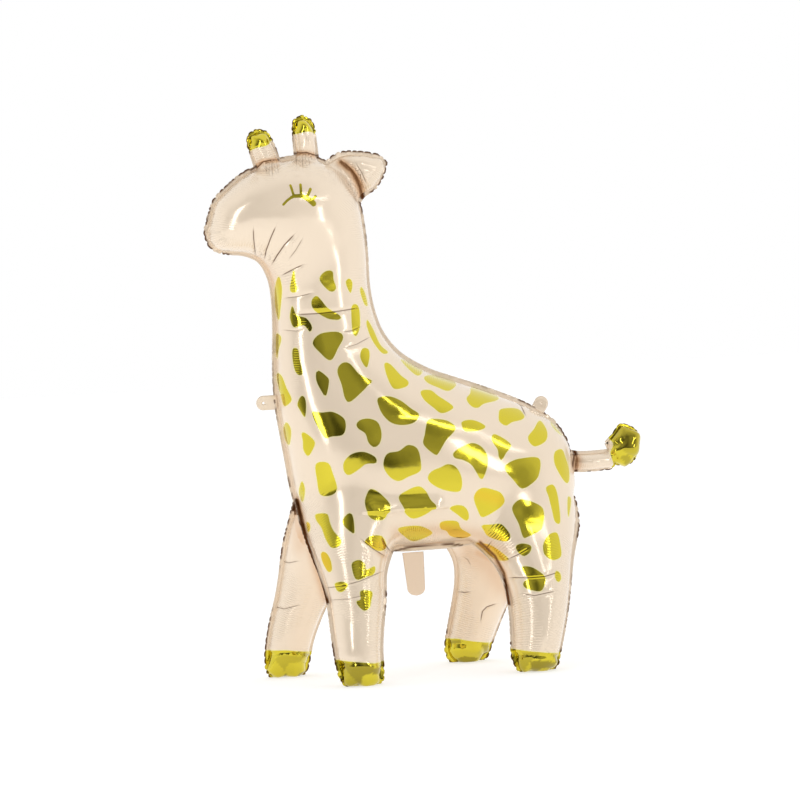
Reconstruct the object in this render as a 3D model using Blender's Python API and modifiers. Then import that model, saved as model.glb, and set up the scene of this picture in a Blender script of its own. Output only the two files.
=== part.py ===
"""Giraffe foil balloon: a sealed foil envelope standing on its four feet, and its filling valve.

The giraffe looks along -X, its left side is at -Y and its feet stand on z = 0.
Two printed side panels are welded along the outline in the plane y = 0. Below the chest they
part into a left and a right seam, and an unprinted belly panel between those two seams makes
the inner faces of the legs.
"""
import bmesh
import bpy
import math
import numpy as np

# Overall size
HEIGHT = 1.020           # floor to the tip of the rear horn
UNIT = HEIGHT / 1020.0   # the pattern is drawn 1020 units tall, so one unit is a millimetre

# How far the balloon swells, in pattern units, half of each thickness
TRUNK_SWELL = 125.0
NECK_SWELL = 66.0
HEAD_SWELL = 77.0
HORN_SWELL = 21.0
EAR_SWELL = 24.0
TAIL_SWELL = 20.0
TUFT_SWELL = 27.0

# Stance, in pattern units
APEX_RISE = 330.0        # where the side seams part, below the chest and the rump
FOOT_SPREAD = 150.0      # middle plane to the middle of a foot
FRONT_STRIDE = 26.0      # each front foot stands this far from the pair's middle, along X
HIND_STRIDE = 14.0
STRIDE_RISE = 290.0      # no stride above this

# Welded edge and the tabs cut from it, metres
FLANGE_WIDTH = 0.0075
FLANGE_THICKNESS = 0.0016
LEG_FLANGE_SHARE = 0.9   # of that thickness, so that crossing edges never share a face
BELLY_FLANGE_SHARE = 0.8
TAB_SHARE = 1.2
TAB_LENGTH = 0.032
TAB_WIDTH = 0.027
TAB_HOLE = 0.005
TAB_OVERLAP = 0.012
BACK_TAB_SHORTER = 0.008

# Where the tabs leave the outline, in pattern units
CHEST_TAB_PLACE = (-231.0, 505.0)
BACK_TAB_PLACE = (265.0, 466.0)
BACK_TAB_LEAN = math.radians(57.0)

# Filling valve: a flat strip that hangs from the left belly seam, metres
VALVE_WIDTH = 0.040
VALVE_LENGTH = 0.078
VALVE_THICKNESS = 0.0012
VALVE_PLACE_X = -16.0     # pattern units
VALVE_FIT = 0.0003

# Fineness of the solids
RING_SIDES = 28
RINGS_PER_STATION = 2
VOXEL = 6.5 * UNIT
SMOOTH_STEPS = 5
KEEP_SHARE = 0.074

CREAM = (0.86, 0.74, 0.62, 1.0)
CREAM_METALLIC = 0.3
CREAM_ROUGHNESS = 0.25
PALE_FILM = (0.84, 0.68, 0.54, 1.0)
PALE_FILM_ROUGHNESS = 0.35

# Corners of the guide that takes away what is under the floor, metres, and its top
FLOOR_LOW = (-0.6, -0.4, -0.1)
FLOOR_HIGH = (0.8, 0.4)


def start_clean():
    """Remove what the opened scene holds and make the two collections."""
    for thing in list(bpy.data.objects):
        bpy.data.objects.remove(thing)
    made = {}
    for title in ("giraffe_foil_balloon", "cutters"):
        made[title] = bpy.data.collections.new(title)
        bpy.context.scene.collection.children.link(made[title])
    return made["giraffe_foil_balloon"], made["cutters"]


PARTS, CUTTERS = start_clean()


def foil(name, colour, metallic, roughness):
    """A plain Principled material for one sub-part."""
    made = bpy.data.materials.new(name)
    made.use_nodes = True
    shader = made.node_tree.nodes["Principled BSDF"]
    shader.inputs["Base Color"].default_value = colour
    shader.inputs["Metallic"].default_value = metallic
    shader.inputs["Roughness"].default_value = roughness
    return made


def new_object(name, mesh, collection, material=None):
    """Link a mesh as an object; a guide is drawn as wire and left out of renders."""
    made = bpy.data.objects.new(name, mesh)
    collection.objects.link(made)
    if collection is CUTTERS:
        made.hide_render = True
        made.display_type = "WIRE"
    if material is not None:
        mesh.materials.append(material)
    return made


def smooth_rows(stations, per_station):
    """Rows along a curve through the stations: Catmull-Rom, with the ends mirrored outwards."""
    rows = np.array(stations, dtype=float)
    padded = np.vstack([2 * rows[0] - rows[1], rows, 2 * rows[-1] - rows[-2]])
    out = []
    for k in range(len(rows) - 1):
        p0, p1, p2, p3 = padded[k:k + 4]
        for t in np.arange(per_station) / per_station:
            out.append(0.5 * (2 * p1 + (p2 - p0) * t + (2 * p0 - 5 * p1 + 4 * p2 - p3) * t ** 2
                              + (3 * p1 - p0 - 3 * p2 + p3) * t ** 3))
    out.append(rows[-1])
    return np.array(out)


def sheet_offset(rise):
    """Distance of the leg sheet from the middle plane at a height, in pattern units."""
    share = np.clip(np.asarray(rise, dtype=float) / APEX_RISE, 0.0, 1.0)
    return FOOT_SPREAD * (1.0 - share ** 2)


def close_mesh(name, points, rings, sides):
    """Mesh of rings of points joined in order, with the last two points as its end poles."""
    build = bmesh.new()
    verts = [build.verts.new(point) for point in points]
    last = (rings - 1) * sides
    for s in range(sides):
        n = (s + 1) % sides
        for r in range(0, last, sides):
            build.faces.new((verts[r + s], verts[r + n], verts[r + sides + n], verts[r + sides + s]))
        build.faces.new((verts[-2], verts[n], verts[s]))
        build.faces.new((verts[-1], verts[last + s], verts[last + n]))
    bmesh.ops.recalc_face_normals(build, faces=build.faces)
    mesh = bpy.data.meshes.new(name)
    build.to_mesh(mesh)
    build.free()
    return mesh


def loft(name, stations, poles, place, fullness=(2.0, 2.0)):
    """Swollen body through sections that each span a chord of the side outline.

    A station is (front x, front z, back x, back z, swell). The section's long axis is the
    chord, its short axis stands square to the pattern sheet, and fullness gives the power of
    the superellipse on the front and the back half. The poles close the two ends. place
    turns pattern points (x, offset from the sheet, z) into the model's points.
    """
    rows = smooth_rows(stations, RINGS_PER_STATION)
    middle = (rows[:, 0:2] + rows[:, 2:4]) / 2
    reach = (rows[:, 2:4] - rows[:, 0:2]) / 2
    turn = np.linspace(0.0, 2 * math.pi, RING_SIDES, endpoint=False)
    across, out = np.cos(turn), np.sin(turn)
    power = np.where(across < 0, fullness[0], fullness[1])
    round_across = np.sign(across) * np.abs(across) ** (2 / power)
    round_out = np.sign(out) * np.abs(out) ** (2 / power)
    along = middle[:, None, :] + reach[:, None, :] * round_across[None, :, None]
    offset = rows[:, 4, None] * round_out[None, :]
    points = np.stack([along[..., 0], offset, along[..., 1]], axis=-1).reshape(-1, 3)
    ends = np.array([(pole[0], 0.0, pole[1]) for pole in poles])
    mesh = close_mesh(name, place(np.vstack([points, ends])), len(rows), RING_SIDES)
    return new_object(name, mesh, CUTTERS)


def plate(name, stations, poles, place, thickness):
    """The welded edge of a loft: a thin plate in its sheet that reaches past every chord."""
    rows = smooth_rows(stations, RINGS_PER_STATION)
    front, back = rows[:, 0:2], rows[:, 2:4]
    grow = FLANGE_WIDTH / UNIT
    outwards = (back - front) / np.linalg.norm(back - front, axis=1)[:, None]
    half = thickness / 2 / UNIT
    corners = []
    for edge, way in ((front, -1), (back, 1)):
        wide = edge + way * grow * outwards
        for face in (way, -way):
            corners.append(np.column_stack([wide[:, 0], np.full(len(wide), face * half), wide[:, 1]]))
    points = np.stack(corners, axis=1).reshape(-1, 3)
    ends = []
    for pole, ring in zip(poles, (0, -1)):
        away = np.array(pole, dtype=float) - (front[ring] + back[ring]) / 2
        away = away * (1 + grow / np.linalg.norm(away))
        end = (front[ring] + back[ring]) / 2 + away
        ends.append((end[0], 0.0, end[1]))
    mesh = close_mesh(name, place(np.vstack([points, np.array(ends)])), len(rows), 4)
    return new_object(name, mesh, CUTTERS)


def in_plane(points):
    """Pattern points of what lies in the middle plane."""
    return points * UNIT


def on_leg(side, stride):
    """Placing for a leg: its sheet curves away from the middle plane and steps along X."""
    def place(points):
        rise = points[:, 2]
        lifted = np.clip(1.0 - rise / STRIDE_RISE, 0.0, 1.0)
        moved = points.copy()
        moved[:, 0] = points[:, 0] - side * stride * lifted
        moved[:, 1] = side * sheet_offset(rise) + points[:, 1]
        return moved * UNIT
    return place


# Side outline of head, neck and trunk as chords from the front or lower edge to the back or
# upper edge, muzzle first: (front x, front z, back x, back z, swell)
BODY = [
    (-338, 793, -336, 839, 0.33 * HEAD_SWELL),
    (-327, 784, -324, 868, 0.58 * HEAD_SWELL),
    (-308, 779, -302, 889, 0.75 * HEAD_SWELL),
    (-280, 776, -265, 915, 0.88 * HEAD_SWELL),
    (-256, 767, -213, 933, 0.97 * HEAD_SWELL),
    (-243, 755, -150, 938, HEAD_SWELL),
    (-235, 740, -96, 914, 0.98 * HEAD_SWELL),
    (-229, 722, -64, 864, 1.06 * NECK_SWELL),
    (-226, 700, -55, 814, 1.01 * NECK_SWELL),
    (-225, 672, -52, 762, NECK_SWELL),
    (-226, 635, -52, 708, NECK_SWELL),
    (-229, 590, -45, 659, 1.05 * NECK_SWELL),
    (-231, 545, -29, 615, 1.16 * NECK_SWELL),
    (-230, 500, 3, 576, 0.71 * TRUNK_SWELL),
    (-223, 445, 53, 545, 0.83 * TRUNK_SWELL),
    (-216, 395, 103, 526, 0.92 * TRUNK_SWELL),
    (-209, 345, 153, 508, 0.97 * TRUNK_SWELL),
    (-194, 295, 198, 490, TRUNK_SWELL),
    (-162, 253, 232, 475, TRUNK_SWELL),
    (-98, 231, 260, 459, 0.99 * TRUNK_SWELL),
    (-10, 226, 284, 443, 0.96 * TRUNK_SWELL),
    (80, 228, 301, 423, 0.90 * TRUNK_SWELL),
    (160, 233, 313, 399, 0.79 * TRUNK_SWELL),
    (225, 242, 318, 371, 0.65 * TRUNK_SWELL),
    (271, 256, 320, 343, 0.47 * TRUNK_SWELL),
    (300, 273, 319, 316, 0.25 * TRUNK_SWELL),
]
BODY_POLES = ((-344, 814), (316, 292))

# Legs from inside the trunk down to the foot: (front x, z, back x, z, swell)
FRONT_LEG = [
    (-202, 345, -20, 345, 118),
    (-206, 300, -24, 300, 99),
    (-207, 255, -45, 255, 74),
    (-205, 222, -72, 222, 62),
    (-202, 190, -91, 190, 54),
    (-202, 150, -103, 150, 48),
    (-207, 105, -119, 105, 43),
    (-210, 65, -130, 65, 39),
    (-210, 35, -134, 35, 35),
    (-206, 14, -137, 14, 27),
    (-199, 3, -144, 3, 19),
]
FRONT_LEG_POLES = ((-107, 370), (-171, -4))
HIND_LEG = [
    (62, 345, 306, 345, 108),
    (66, 300, 311, 300, 92),
    (81, 255, 302, 255, 72),
    (110, 222, 284, 222, 63),
    (130, 190, 268, 190, 57),
    (138, 150, 253, 150, 52),
    (136, 105, 237, 105, 48),
    (131, 65, 222, 65, 44),
    (127, 35, 211, 35, 38),
    (131, 14, 204, 14, 29),
    (139, 3, 195, 3, 20),
]
HIND_LEG_POLES = ((185, 370), (167, -4))
FOOT_CUT = 1.5           # the rounded foot end is flattened this far above its lowest ring

# Horns, ear, tail and tuft: lobes of the outline in the middle plane
FRONT_HORN = [
    (-248, 905, -198, 919, 0.8 * HORN_SWELL),
    (-246, 925, -205, 937, 0.85 * HORN_SWELL),
    (-252, 950, -211, 958, HORN_SWELL),
    (-257, 971, -218, 975, HORN_SWELL),
    (-254, 984, -224, 986, 0.7 * HORN_SWELL),
]
FRONT_HORN_POLES = ((-220, 900), (-240, 991))
REAR_HORN = [
    (-170, 918, -130, 918, 0.8 * HORN_SWELL),
    (-170, 943, -133, 943, 0.85 * HORN_SWELL),
    (-171, 970, -135, 970, HORN_SWELL),
    (-171, 995, -137, 995, HORN_SWELL),
    (-169, 1006, -143, 1006, 0.7 * HORN_SWELL),
]
REAR_HORN_POLES = ((-151, 905), (-156, 1012.5))
EAR = [
    (-115, 925, -66, 850, 0.7 * EAR_SWELL),
    (-97, 938, -52, 868, 0.5 * EAR_SWELL),
    (-80, 943, -42, 875, 0.95 * EAR_SWELL),
    (-56, 942, -28, 883, EAR_SWELL),
    (-33, 939, -17, 897, 0.85 * EAR_SWELL),
    (-17, 935, -10, 910, 0.5 * EAR_SWELL),
]
EAR_POLES = ((-105, 880), (-6, 925))
TAIL = [
    (300, 345, 300, 387, 0.9 * TAIL_SWELL),
    (326, 349, 326, 380, 0.6 * TAIL_SWELL),
    (345, 348, 345, 377, 0.95 * TAIL_SWELL),
    (372, 348, 372, 377, TAIL_SWELL),
    (400, 349, 400, 378, 0.9 * TAIL_SWELL),
]
TAIL_POLES = ((285, 366), (415, 364))
TUFT = [
    (396, 388, 399, 400, 0.3 * TUFT_SWELL),
    (404, 358, 409, 409, 0.8 * TUFT_SWELL),
    (421, 354, 423, 425, TUFT_SWELL),
    (438, 355, 442, 420, TUFT_SWELL),
    (449, 365, 454, 411, 0.7 * TUFT_SWELL),
]
TUFT_POLES = ((393, 394), (458, 390))
BELLY_SEAM = 233.0
BELLY_EDGE = [
    (-75, BELLY_SEAM + 3, -75, 262, 1),
    (-30, BELLY_SEAM, -30, 262, 1),
    (60, BELLY_SEAM, 60, 262, 1),
    (100, BELLY_SEAM + 5, 100, 262, 1),
]
BELLY_EDGE_POLES = ((-90, 245), (112, 248))


def lobes():
    """Every inflated body of the envelope with its placing: (name, stations, poles, place)."""
    listed = [
        ("front_horn", FRONT_HORN, FRONT_HORN_POLES, in_plane),
        ("rear_horn", REAR_HORN, REAR_HORN_POLES, in_plane),
        ("ear", EAR, EAR_POLES, in_plane),
        ("tail", TAIL, TAIL_POLES, in_plane),
        ("tuft", TUFT, TUFT_POLES, in_plane),
    ]
    for word, side in (("left", -1), ("right", 1)):
        listed.append((f"{word}_front_leg", FRONT_LEG, FRONT_LEG_POLES, on_leg(side, FRONT_STRIDE)))
        listed.append((f"{word}_hind_leg", HIND_LEG, HIND_LEG_POLES, on_leg(side, HIND_STRIDE)))
    return listed


def apply_modifiers(thing):
    """Replace an object's mesh by its evaluated one, with the doubles welded."""
    graph = bpy.context.evaluated_depsgraph_get()
    graph.update()
    mesh = bpy.data.meshes.new_from_object(thing.evaluated_get(graph))
    thing.modifiers.clear()
    thing.data = mesh


def unite(base, others):
    """Boolean unions of the others into the base, applied."""
    for other in others:
        step = base.modifiers.new(f"join {other.name}", "BOOLEAN")
        step.operation = "UNION"
        step.object = other
    apply_modifiers(base)


def cut(base, cutter):
    """Take the cutter's space out of the base, applied."""
    step = base.modifiers.new(f"cut {cutter.name}", "BOOLEAN")
    step.operation = "DIFFERENCE"
    step.object = cutter
    apply_modifiers(base)


def block(name, low, high):
    """A box guide between two corners."""
    build = bmesh.new()
    bmesh.ops.create_cube(build, size=1.0)
    low, high = np.array(low), np.array(high)
    for vert in build.verts:
        vert.co = (low + high) / 2 + np.array(vert.co) * (high - low)
    mesh = bpy.data.meshes.new(name)
    build.to_mesh(mesh)
    build.free()
    return new_object(name, mesh, CUTTERS)


def flat_strip(name, length, width, thickness, collection, material=None):
    """A strip in the XZ plane from the origin along +X, with a half-round far end."""
    arc = np.linspace(-math.pi / 2, math.pi / 2, 13)
    straight = length - width / 2
    outline = [(0.0, -width / 2)]
    outline += [(straight + width / 2 * math.cos(a), width / 2 * math.sin(a)) for a in arc]
    outline.append((0.0, width / 2))
    build = bmesh.new()
    verts = [build.verts.new((x, -thickness / 2, z)) for x, z in outline]
    face = build.faces.new(verts)
    grown = bmesh.ops.extrude_face_region(build, geom=[face])
    moved = [g for g in grown["geom"] if isinstance(g, bmesh.types.BMVert)]
    bmesh.ops.translate(build, verts=moved, vec=(0.0, thickness, 0.0))
    bmesh.ops.recalc_face_normals(build, faces=build.faces)
    mesh = bpy.data.meshes.new(name)
    build.to_mesh(mesh)
    build.free()
    return new_object(name, mesh, collection, material)


def place_mesh(thing, turn, move):
    """Turn a strip's mesh about Y and move it, so the object stays at the origin."""
    cosine, sine = math.cos(turn), math.sin(turn)
    for vert in thing.data.vertices:
        x, y, z = vert.co
        vert.co = (cosine * x - sine * z + move[0], y + move[1], sine * x + cosine * z + move[2])


def inflated_body():
    """Head, neck and trunk with every lobe and leg grown together, feet cut flat."""
    body = loft("envelope", BODY, BODY_POLES, in_plane, fullness=(2.7, 1.95))
    others = [loft(name, rows, poles, place) for name, rows, poles, place in lobes()]
    unite(body, others)
    remesh = body.modifiers.new("even skin", "REMESH")
    remesh.mode = "VOXEL"
    remesh.voxel_size = VOXEL
    smooth = body.modifiers.new("soften joins", "SMOOTH")
    smooth.factor = 0.5
    smooth.iterations = SMOOTH_STEPS
    fewer = body.modifiers.new("fewer faces", "DECIMATE")
    fewer.ratio = KEEP_SHARE
    apply_modifiers(body)
    under_floor = block("under_floor", FLOOR_LOW, FLOOR_HIGH + (FOOT_CUT * UNIT,))
    cut(body, under_floor)
    for vert in body.data.vertices:
        vert.co.z -= FOOT_CUT * UNIT
    return body


def welded_edge(body):
    """Join the flat flange round the outline and round each leg, and the two hanging tabs."""
    edges = [plate("flange_body", BODY, BODY_POLES, in_plane, FLANGE_THICKNESS)]
    for name, rows, poles, place in lobes():
        edges.append(plate(f"flange_{name}", rows, poles, place,
                           LEG_FLANGE_SHARE * FLANGE_THICKNESS))
    for word, side in (("left", -1), ("right", 1)):
        edges.append(plate(f"flange_{word}_belly", BELLY_EDGE, BELLY_EDGE_POLES,
                           on_leg(side, 0.0), BELLY_FLANGE_SHARE * FLANGE_THICKNESS))
    for edge in edges:
        unite(body, [edge])
    cut(body, block("floor", FLOOR_LOW, FLOOR_HIGH + (0.0,)))
    tab_thickness = TAB_SHARE * FLANGE_THICKNESS
    chest_tab = flat_strip("chest_tab", TAB_LENGTH + TAB_OVERLAP, TAB_WIDTH, tab_thickness, CUTTERS)
    chest_x = CHEST_TAB_PLACE[0] * UNIT - FLANGE_WIDTH
    chest_z = CHEST_TAB_PLACE[1] * UNIT
    place_mesh(chest_tab, math.pi, (chest_x + TAB_OVERLAP, 0.0, chest_z))
    back_tab = flat_strip("back_tab", TAB_LENGTH + TAB_OVERLAP - BACK_TAB_SHORTER, TAB_WIDTH,
                          tab_thickness, CUTTERS)
    place_mesh(back_tab, BACK_TAB_LEAN,
               (BACK_TAB_PLACE[0] * UNIT - TAB_OVERLAP * math.cos(BACK_TAB_LEAN), 0.0,
                BACK_TAB_PLACE[1] * UNIT - TAB_OVERLAP * math.sin(BACK_TAB_LEAN)))
    unite(body, [chest_tab, back_tab])
    hole_x = chest_x - TAB_LENGTH + TAB_WIDTH / 2
    bpy.ops.mesh.primitive_cylinder_add(vertices=16, radius=TAB_HOLE / 2, depth=TAB_WIDTH,
                                        location=(hole_x, 0.0, chest_z),
                                        rotation=(math.pi / 2, 0.0, 0.0))
    punch = bpy.context.object
    punch.name = "punch"
    for owner in list(punch.users_collection):
        owner.objects.unlink(punch)
    CUTTERS.objects.link(punch)
    punch.hide_render = True
    punch.display_type = "WIRE"
    cut(body, punch)


def centre_on_floor(things):
    """Move the meshes so that the box of all of them is centred over the origin."""
    corners = np.array([vert.co for thing in things for vert in thing.data.vertices])
    middle = (corners.min(axis=0) + corners.max(axis=0)) / 2
    for thing in things:
        for vert in thing.data.vertices:
            vert.co.x -= middle[0]
            vert.co.y -= middle[1]
    print("box centre moved by", [round(float(v), 5) for v in middle[:2]])


def valve():
    """The filling valve's strip, hanging from the left belly seam."""
    strip = flat_strip("filling_valve", VALVE_LENGTH, VALVE_WIDTH, VALVE_THICKNESS, PARTS,
                       foil("valve_film", PALE_FILM, 0.0, PALE_FILM_ROUGHNESS))
    seam_rise = BELLY_SEAM * UNIT - FLANGE_WIDTH - FOOT_CUT * UNIT
    seam_side = float(sheet_offset(BELLY_SEAM)) * UNIT
    place_mesh(strip, -math.pi / 2, (VALVE_PLACE_X * UNIT, -seam_side, seam_rise - VALVE_FIT))
    return strip


def main():
    body = inflated_body()
    welded_edge(body)
    body.data.materials.clear()
    body.data.materials.append(foil("cream_foil", CREAM, CREAM_METALLIC, CREAM_ROUGHNESS))
    CUTTERS.objects.unlink(body)
    PARTS.objects.link(body)
    body.hide_render = False
    body.display_type = "TEXTURED"
    strip = valve()
    centre_on_floor([body, strip])
    print("envelope faces", len(body.data.polygons))


main()
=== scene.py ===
# %% [markdown]
# # A giraffe foil balloon
# The balloon is cut from printed foil, welded along its outline, blown up through a valve under
# the belly and stood on its four gold feet. The solids that come with it give its size and its
# place. This notebook builds the look over them: the taut skin with its puckered edge, the
# welded rim, the two tabs, the valve, the printed spots and eye, and the light of a photo studio.

# %% Load the frame
import math
import bmesh
import bpy
import numpy as np
from mathutils import Matrix, Vector


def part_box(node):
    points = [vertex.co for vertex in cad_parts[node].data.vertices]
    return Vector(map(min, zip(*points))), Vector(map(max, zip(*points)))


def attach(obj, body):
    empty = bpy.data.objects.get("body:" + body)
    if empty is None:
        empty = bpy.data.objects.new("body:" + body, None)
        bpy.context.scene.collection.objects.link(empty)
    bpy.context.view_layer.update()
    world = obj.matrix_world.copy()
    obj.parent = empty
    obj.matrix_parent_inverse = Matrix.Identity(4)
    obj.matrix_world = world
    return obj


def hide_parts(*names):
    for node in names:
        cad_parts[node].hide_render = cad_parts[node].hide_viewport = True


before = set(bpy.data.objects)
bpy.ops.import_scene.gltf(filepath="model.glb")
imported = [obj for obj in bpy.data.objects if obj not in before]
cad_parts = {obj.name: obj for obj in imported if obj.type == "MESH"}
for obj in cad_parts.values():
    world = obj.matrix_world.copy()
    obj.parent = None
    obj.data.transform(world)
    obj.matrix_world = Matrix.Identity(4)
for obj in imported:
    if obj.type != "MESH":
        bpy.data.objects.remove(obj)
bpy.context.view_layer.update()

# %% [markdown]
# ## The camera first
# Spots and creases are placed where the photograph shows them, so the camera is settled before
# the balloon. It stands seven metres off on the balloon's left, a little towards the head. A long
# lens from far away is what keeps the four feet on one line. The same few numbers make the
# camera object and a function that says where on the picture any point of the balloon falls.

# %% Camera position and a function from space to picture
PICTURE = 800.0
FOCAL_PX = 3871.77
AZIMUTH = math.radians(18.0)
ELEVATION = math.radians(1.0)
ROLL = math.radians(-3.1388)
DISTANCE = 7.0
AIM = np.array([-0.0570, 0.0, 0.49558])
FORWARD = np.array([math.sin(AZIMUTH) * math.cos(ELEVATION),
                    math.cos(AZIMUTH) * math.cos(ELEVATION), -math.sin(ELEVATION)])
LEVEL = np.array([math.cos(AZIMUTH), -math.sin(AZIMUTH), 0.0])
RISING = np.cross(LEVEL, FORWARD)
CAMERA_RIGHT = LEVEL * math.cos(ROLL) + RISING * math.sin(ROLL)
CAMERA_UP = RISING * math.cos(ROLL) - LEVEL * math.sin(ROLL)
CAMERA_PLACE = AIM - DISTANCE * FORWARD


def picture_of(points):
    """Picture coordinates of points: their offset from the camera, split along its right, up and
    forward axes; right and up are divided by the depth and scaled by the focal length."""
    offset = points - CAMERA_PLACE
    depth = offset @ FORWARD
    right = FOCAL_PX * (offset @ CAMERA_RIGHT) / depth
    up = FOCAL_PX * (offset @ CAMERA_UP) / depth
    return np.stack([PICTURE / 2 + right, PICTURE / 2 - up], axis=-1)


def side_point(px, py, y):
    """The point of the plane at this y that the picture shows at (px, py)."""
    ray = FORWARD + CAMERA_RIGHT * (px - PICTURE / 2) / FOCAL_PX + CAMERA_UP * (PICTURE / 2 - py) / FOCAL_PX
    return CAMERA_PLACE + ray * (y - CAMERA_PLACE[1]) / ray[1]


lens = bpy.data.cameras.new("portrait_lens")
lens.sensor_width = 36.0
lens.lens = FOCAL_PX / PICTURE * lens.sensor_width
camera = bpy.data.objects.new("camera", lens)
bpy.context.scene.collection.objects.link(camera)
turn = Matrix((CAMERA_RIGHT, CAMERA_UP, -FORWARD)).transposed()
camera.matrix_world = Matrix.Translation(Vector(CAMERA_PLACE)) @ turn.to_4x4()
bpy.context.scene.camera = camera
print("lens", round(lens.lens, 1), "mm at", CAMERA_PLACE.round(3))

# %% [markdown]
# ## The pattern
# The maker draws the balloon flat, one unit to a millimetre. Each part of the outline is a row of
# chords, and each chord carries the height to which the air lifts the foil there. Head, neck and
# trunk are one such row. Each leg lies in a sheet of its own that curves away from the middle.

# %% Chords of the outline: front x, front z, back x, back z, swell
TRUNK, NECK, HEAD, HORN, EAR_SWELL, TAIL_SWELL, TUFT_SWELL = 125.0, 66.0, 77.0, 21.0, 24.0, 20.0, 27.0
BODY = [
    (-338, 793, -336, 839, 0.33 * HEAD), (-327, 784, -324, 868, 0.58 * HEAD),
    (-308, 779, -302, 889, 0.75 * HEAD), (-280, 776, -265, 915, 0.88 * HEAD),
    (-256, 767, -213, 933, 0.97 * HEAD), (-243, 755, -150, 938, HEAD),
    (-235, 740, -96, 914, 0.98 * HEAD), (-229, 722, -64, 864, 1.06 * NECK),
    (-226, 700, -55, 814, 1.01 * NECK), (-225, 672, -52, 762, NECK), (-226, 635, -52, 708, NECK),
    (-229, 590, -45, 659, 1.05 * NECK), (-231, 545, -29, 615, 1.16 * NECK),
    (-230, 500, 3, 576, 0.71 * TRUNK), (-223, 445, 53, 545, 0.83 * TRUNK),
    (-216, 395, 103, 526, 0.92 * TRUNK), (-209, 345, 153, 508, 0.97 * TRUNK),
    (-194, 295, 198, 490, TRUNK), (-162, 253, 232, 475, TRUNK), (-98, 231, 260, 459, 0.99 * TRUNK),
    (-10, 226, 284, 443, 0.96 * TRUNK), (80, 228, 301, 423, 0.90 * TRUNK),
    (160, 233, 313, 399, 0.79 * TRUNK), (225, 242, 318, 371, 0.65 * TRUNK),
    (271, 256, 320, 343, 0.47 * TRUNK), (300, 273, 319, 316, 0.25 * TRUNK),
]
BODY_ENDS = ((-344, 814), (316, 292))
FRONT_LEG = [
    (-202, 345, -20, 345, 118), (-206, 300, -24, 300, 99), (-207, 255, -45, 255, 74),
    (-205, 222, -72, 222, 62), (-202, 190, -91, 190, 54), (-202, 150, -103, 150, 48),
    (-207, 105, -119, 105, 43), (-210, 65, -130, 65, 39), (-210, 35, -134, 35, 35),
    (-206, 14, -137, 14, 27), (-199, 3, -144, 3, 19),
]
FRONT_LEG_ENDS = ((-107, 370), (-171, -4))
HIND_LEG = [
    (62, 345, 306, 345, 108), (66, 300, 311, 300, 92), (81, 255, 302, 255, 72),
    (110, 222, 284, 222, 63), (130, 190, 268, 190, 57), (138, 150, 253, 150, 52),
    (136, 105, 237, 105, 48), (131, 65, 222, 65, 44), (127, 35, 211, 35, 38),
    (131, 14, 204, 14, 29), (139, 3, 195, 3, 20),
]
HIND_LEG_ENDS = ((185, 370), (167, -4))
FRONT_HORN = [
    (-248, 905, -198, 919, 0.8 * HORN), (-246, 925, -205, 937, 0.85 * HORN),
    (-252, 950, -211, 958, HORN), (-257, 971, -218, 975, HORN), (-254, 984, -224, 986, 0.7 * HORN),
]
FRONT_HORN_ENDS = ((-220, 900), (-240, 991))
REAR_HORN = [
    (-170, 918, -130, 918, 0.8 * HORN), (-170, 943, -133, 943, 0.85 * HORN),
    (-171, 970, -135, 970, HORN), (-171, 995, -137, 995, HORN), (-169, 1006, -143, 1006, 0.7 * HORN),
]
REAR_HORN_ENDS = ((-151, 905), (-156, 1012.5))
EAR = [
    (-115, 925, -66, 850, 0.7 * EAR_SWELL), (-97, 938, -52, 868, 0.5 * EAR_SWELL),
    (-80, 943, -42, 875, 0.95 * EAR_SWELL), (-56, 942, -28, 883, EAR_SWELL),
    (-33, 939, -17, 897, 0.85 * EAR_SWELL), (-17, 935, -10, 910, 0.5 * EAR_SWELL),
]
EAR_ENDS = ((-105, 880), (-6, 925))
TAIL = [
    (300, 345, 300, 387, 0.9 * TAIL_SWELL), (326, 349, 326, 380, 0.6 * TAIL_SWELL),
    (345, 348, 345, 377, 0.95 * TAIL_SWELL), (372, 348, 372, 377, TAIL_SWELL),
    (400, 349, 400, 378, 0.9 * TAIL_SWELL),
]
TAIL_ENDS = ((285, 366), (415, 364))
TUFT = [
    (396, 388, 399, 400, 0.3 * TUFT_SWELL), (404, 358, 409, 409, 0.8 * TUFT_SWELL),
    (421, 354, 423, 425, TUFT_SWELL), (438, 355, 442, 420, TUFT_SWELL),
    (449, 365, 454, 411, 0.7 * TUFT_SWELL),
]
TUFT_ENDS = ((393, 394), (458, 390))
BELLY_LINE = [(-75, 236), (-30, 233), (60, 233), (100, 238)]

# %% [markdown]
# ## Where the pattern stands in space
# Everything above the chest lies in the middle plane. A leg's sheet leaves that plane 330 units
# up and is 150 units away from it on the floor, and each leg steps a little forward or back.

# %% Placing the pattern
UNIT = 0.001
PATTERN_SHIFT = np.array([-0.05698, -0.00015, 0.0])
APEX, FOOT_SPREAD, STRIDE_TOP = 330.0, 150.0, 290.0
SKIN_DROP = 0.0015


def sheet_offset(rise):
    """Distance of the leg sheet from the middle plane: the foot's spread times one minus the
    square of the height's share of the apex."""
    return FOOT_SPREAD * (1 - np.clip(np.asarray(rise, dtype=float) / APEX, 0, 1) ** 2)


def placing(side=0, stride=0.0):
    """A function from pattern points (x, offset from the sheet, z) to metres. Side 0 is the
    middle plane, -1 the left legs and 1 the right ones."""
    def place(points):
        moved = np.array(points, dtype=float)
        if side:
            rise = moved[..., 2]
            moved[..., 0] -= side * stride * np.clip(1 - rise / STRIDE_TOP, 0, 1)
            moved[..., 1] += side * sheet_offset(rise)
        return moved * UNIT + PATTERN_SHIFT
    return place


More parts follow.
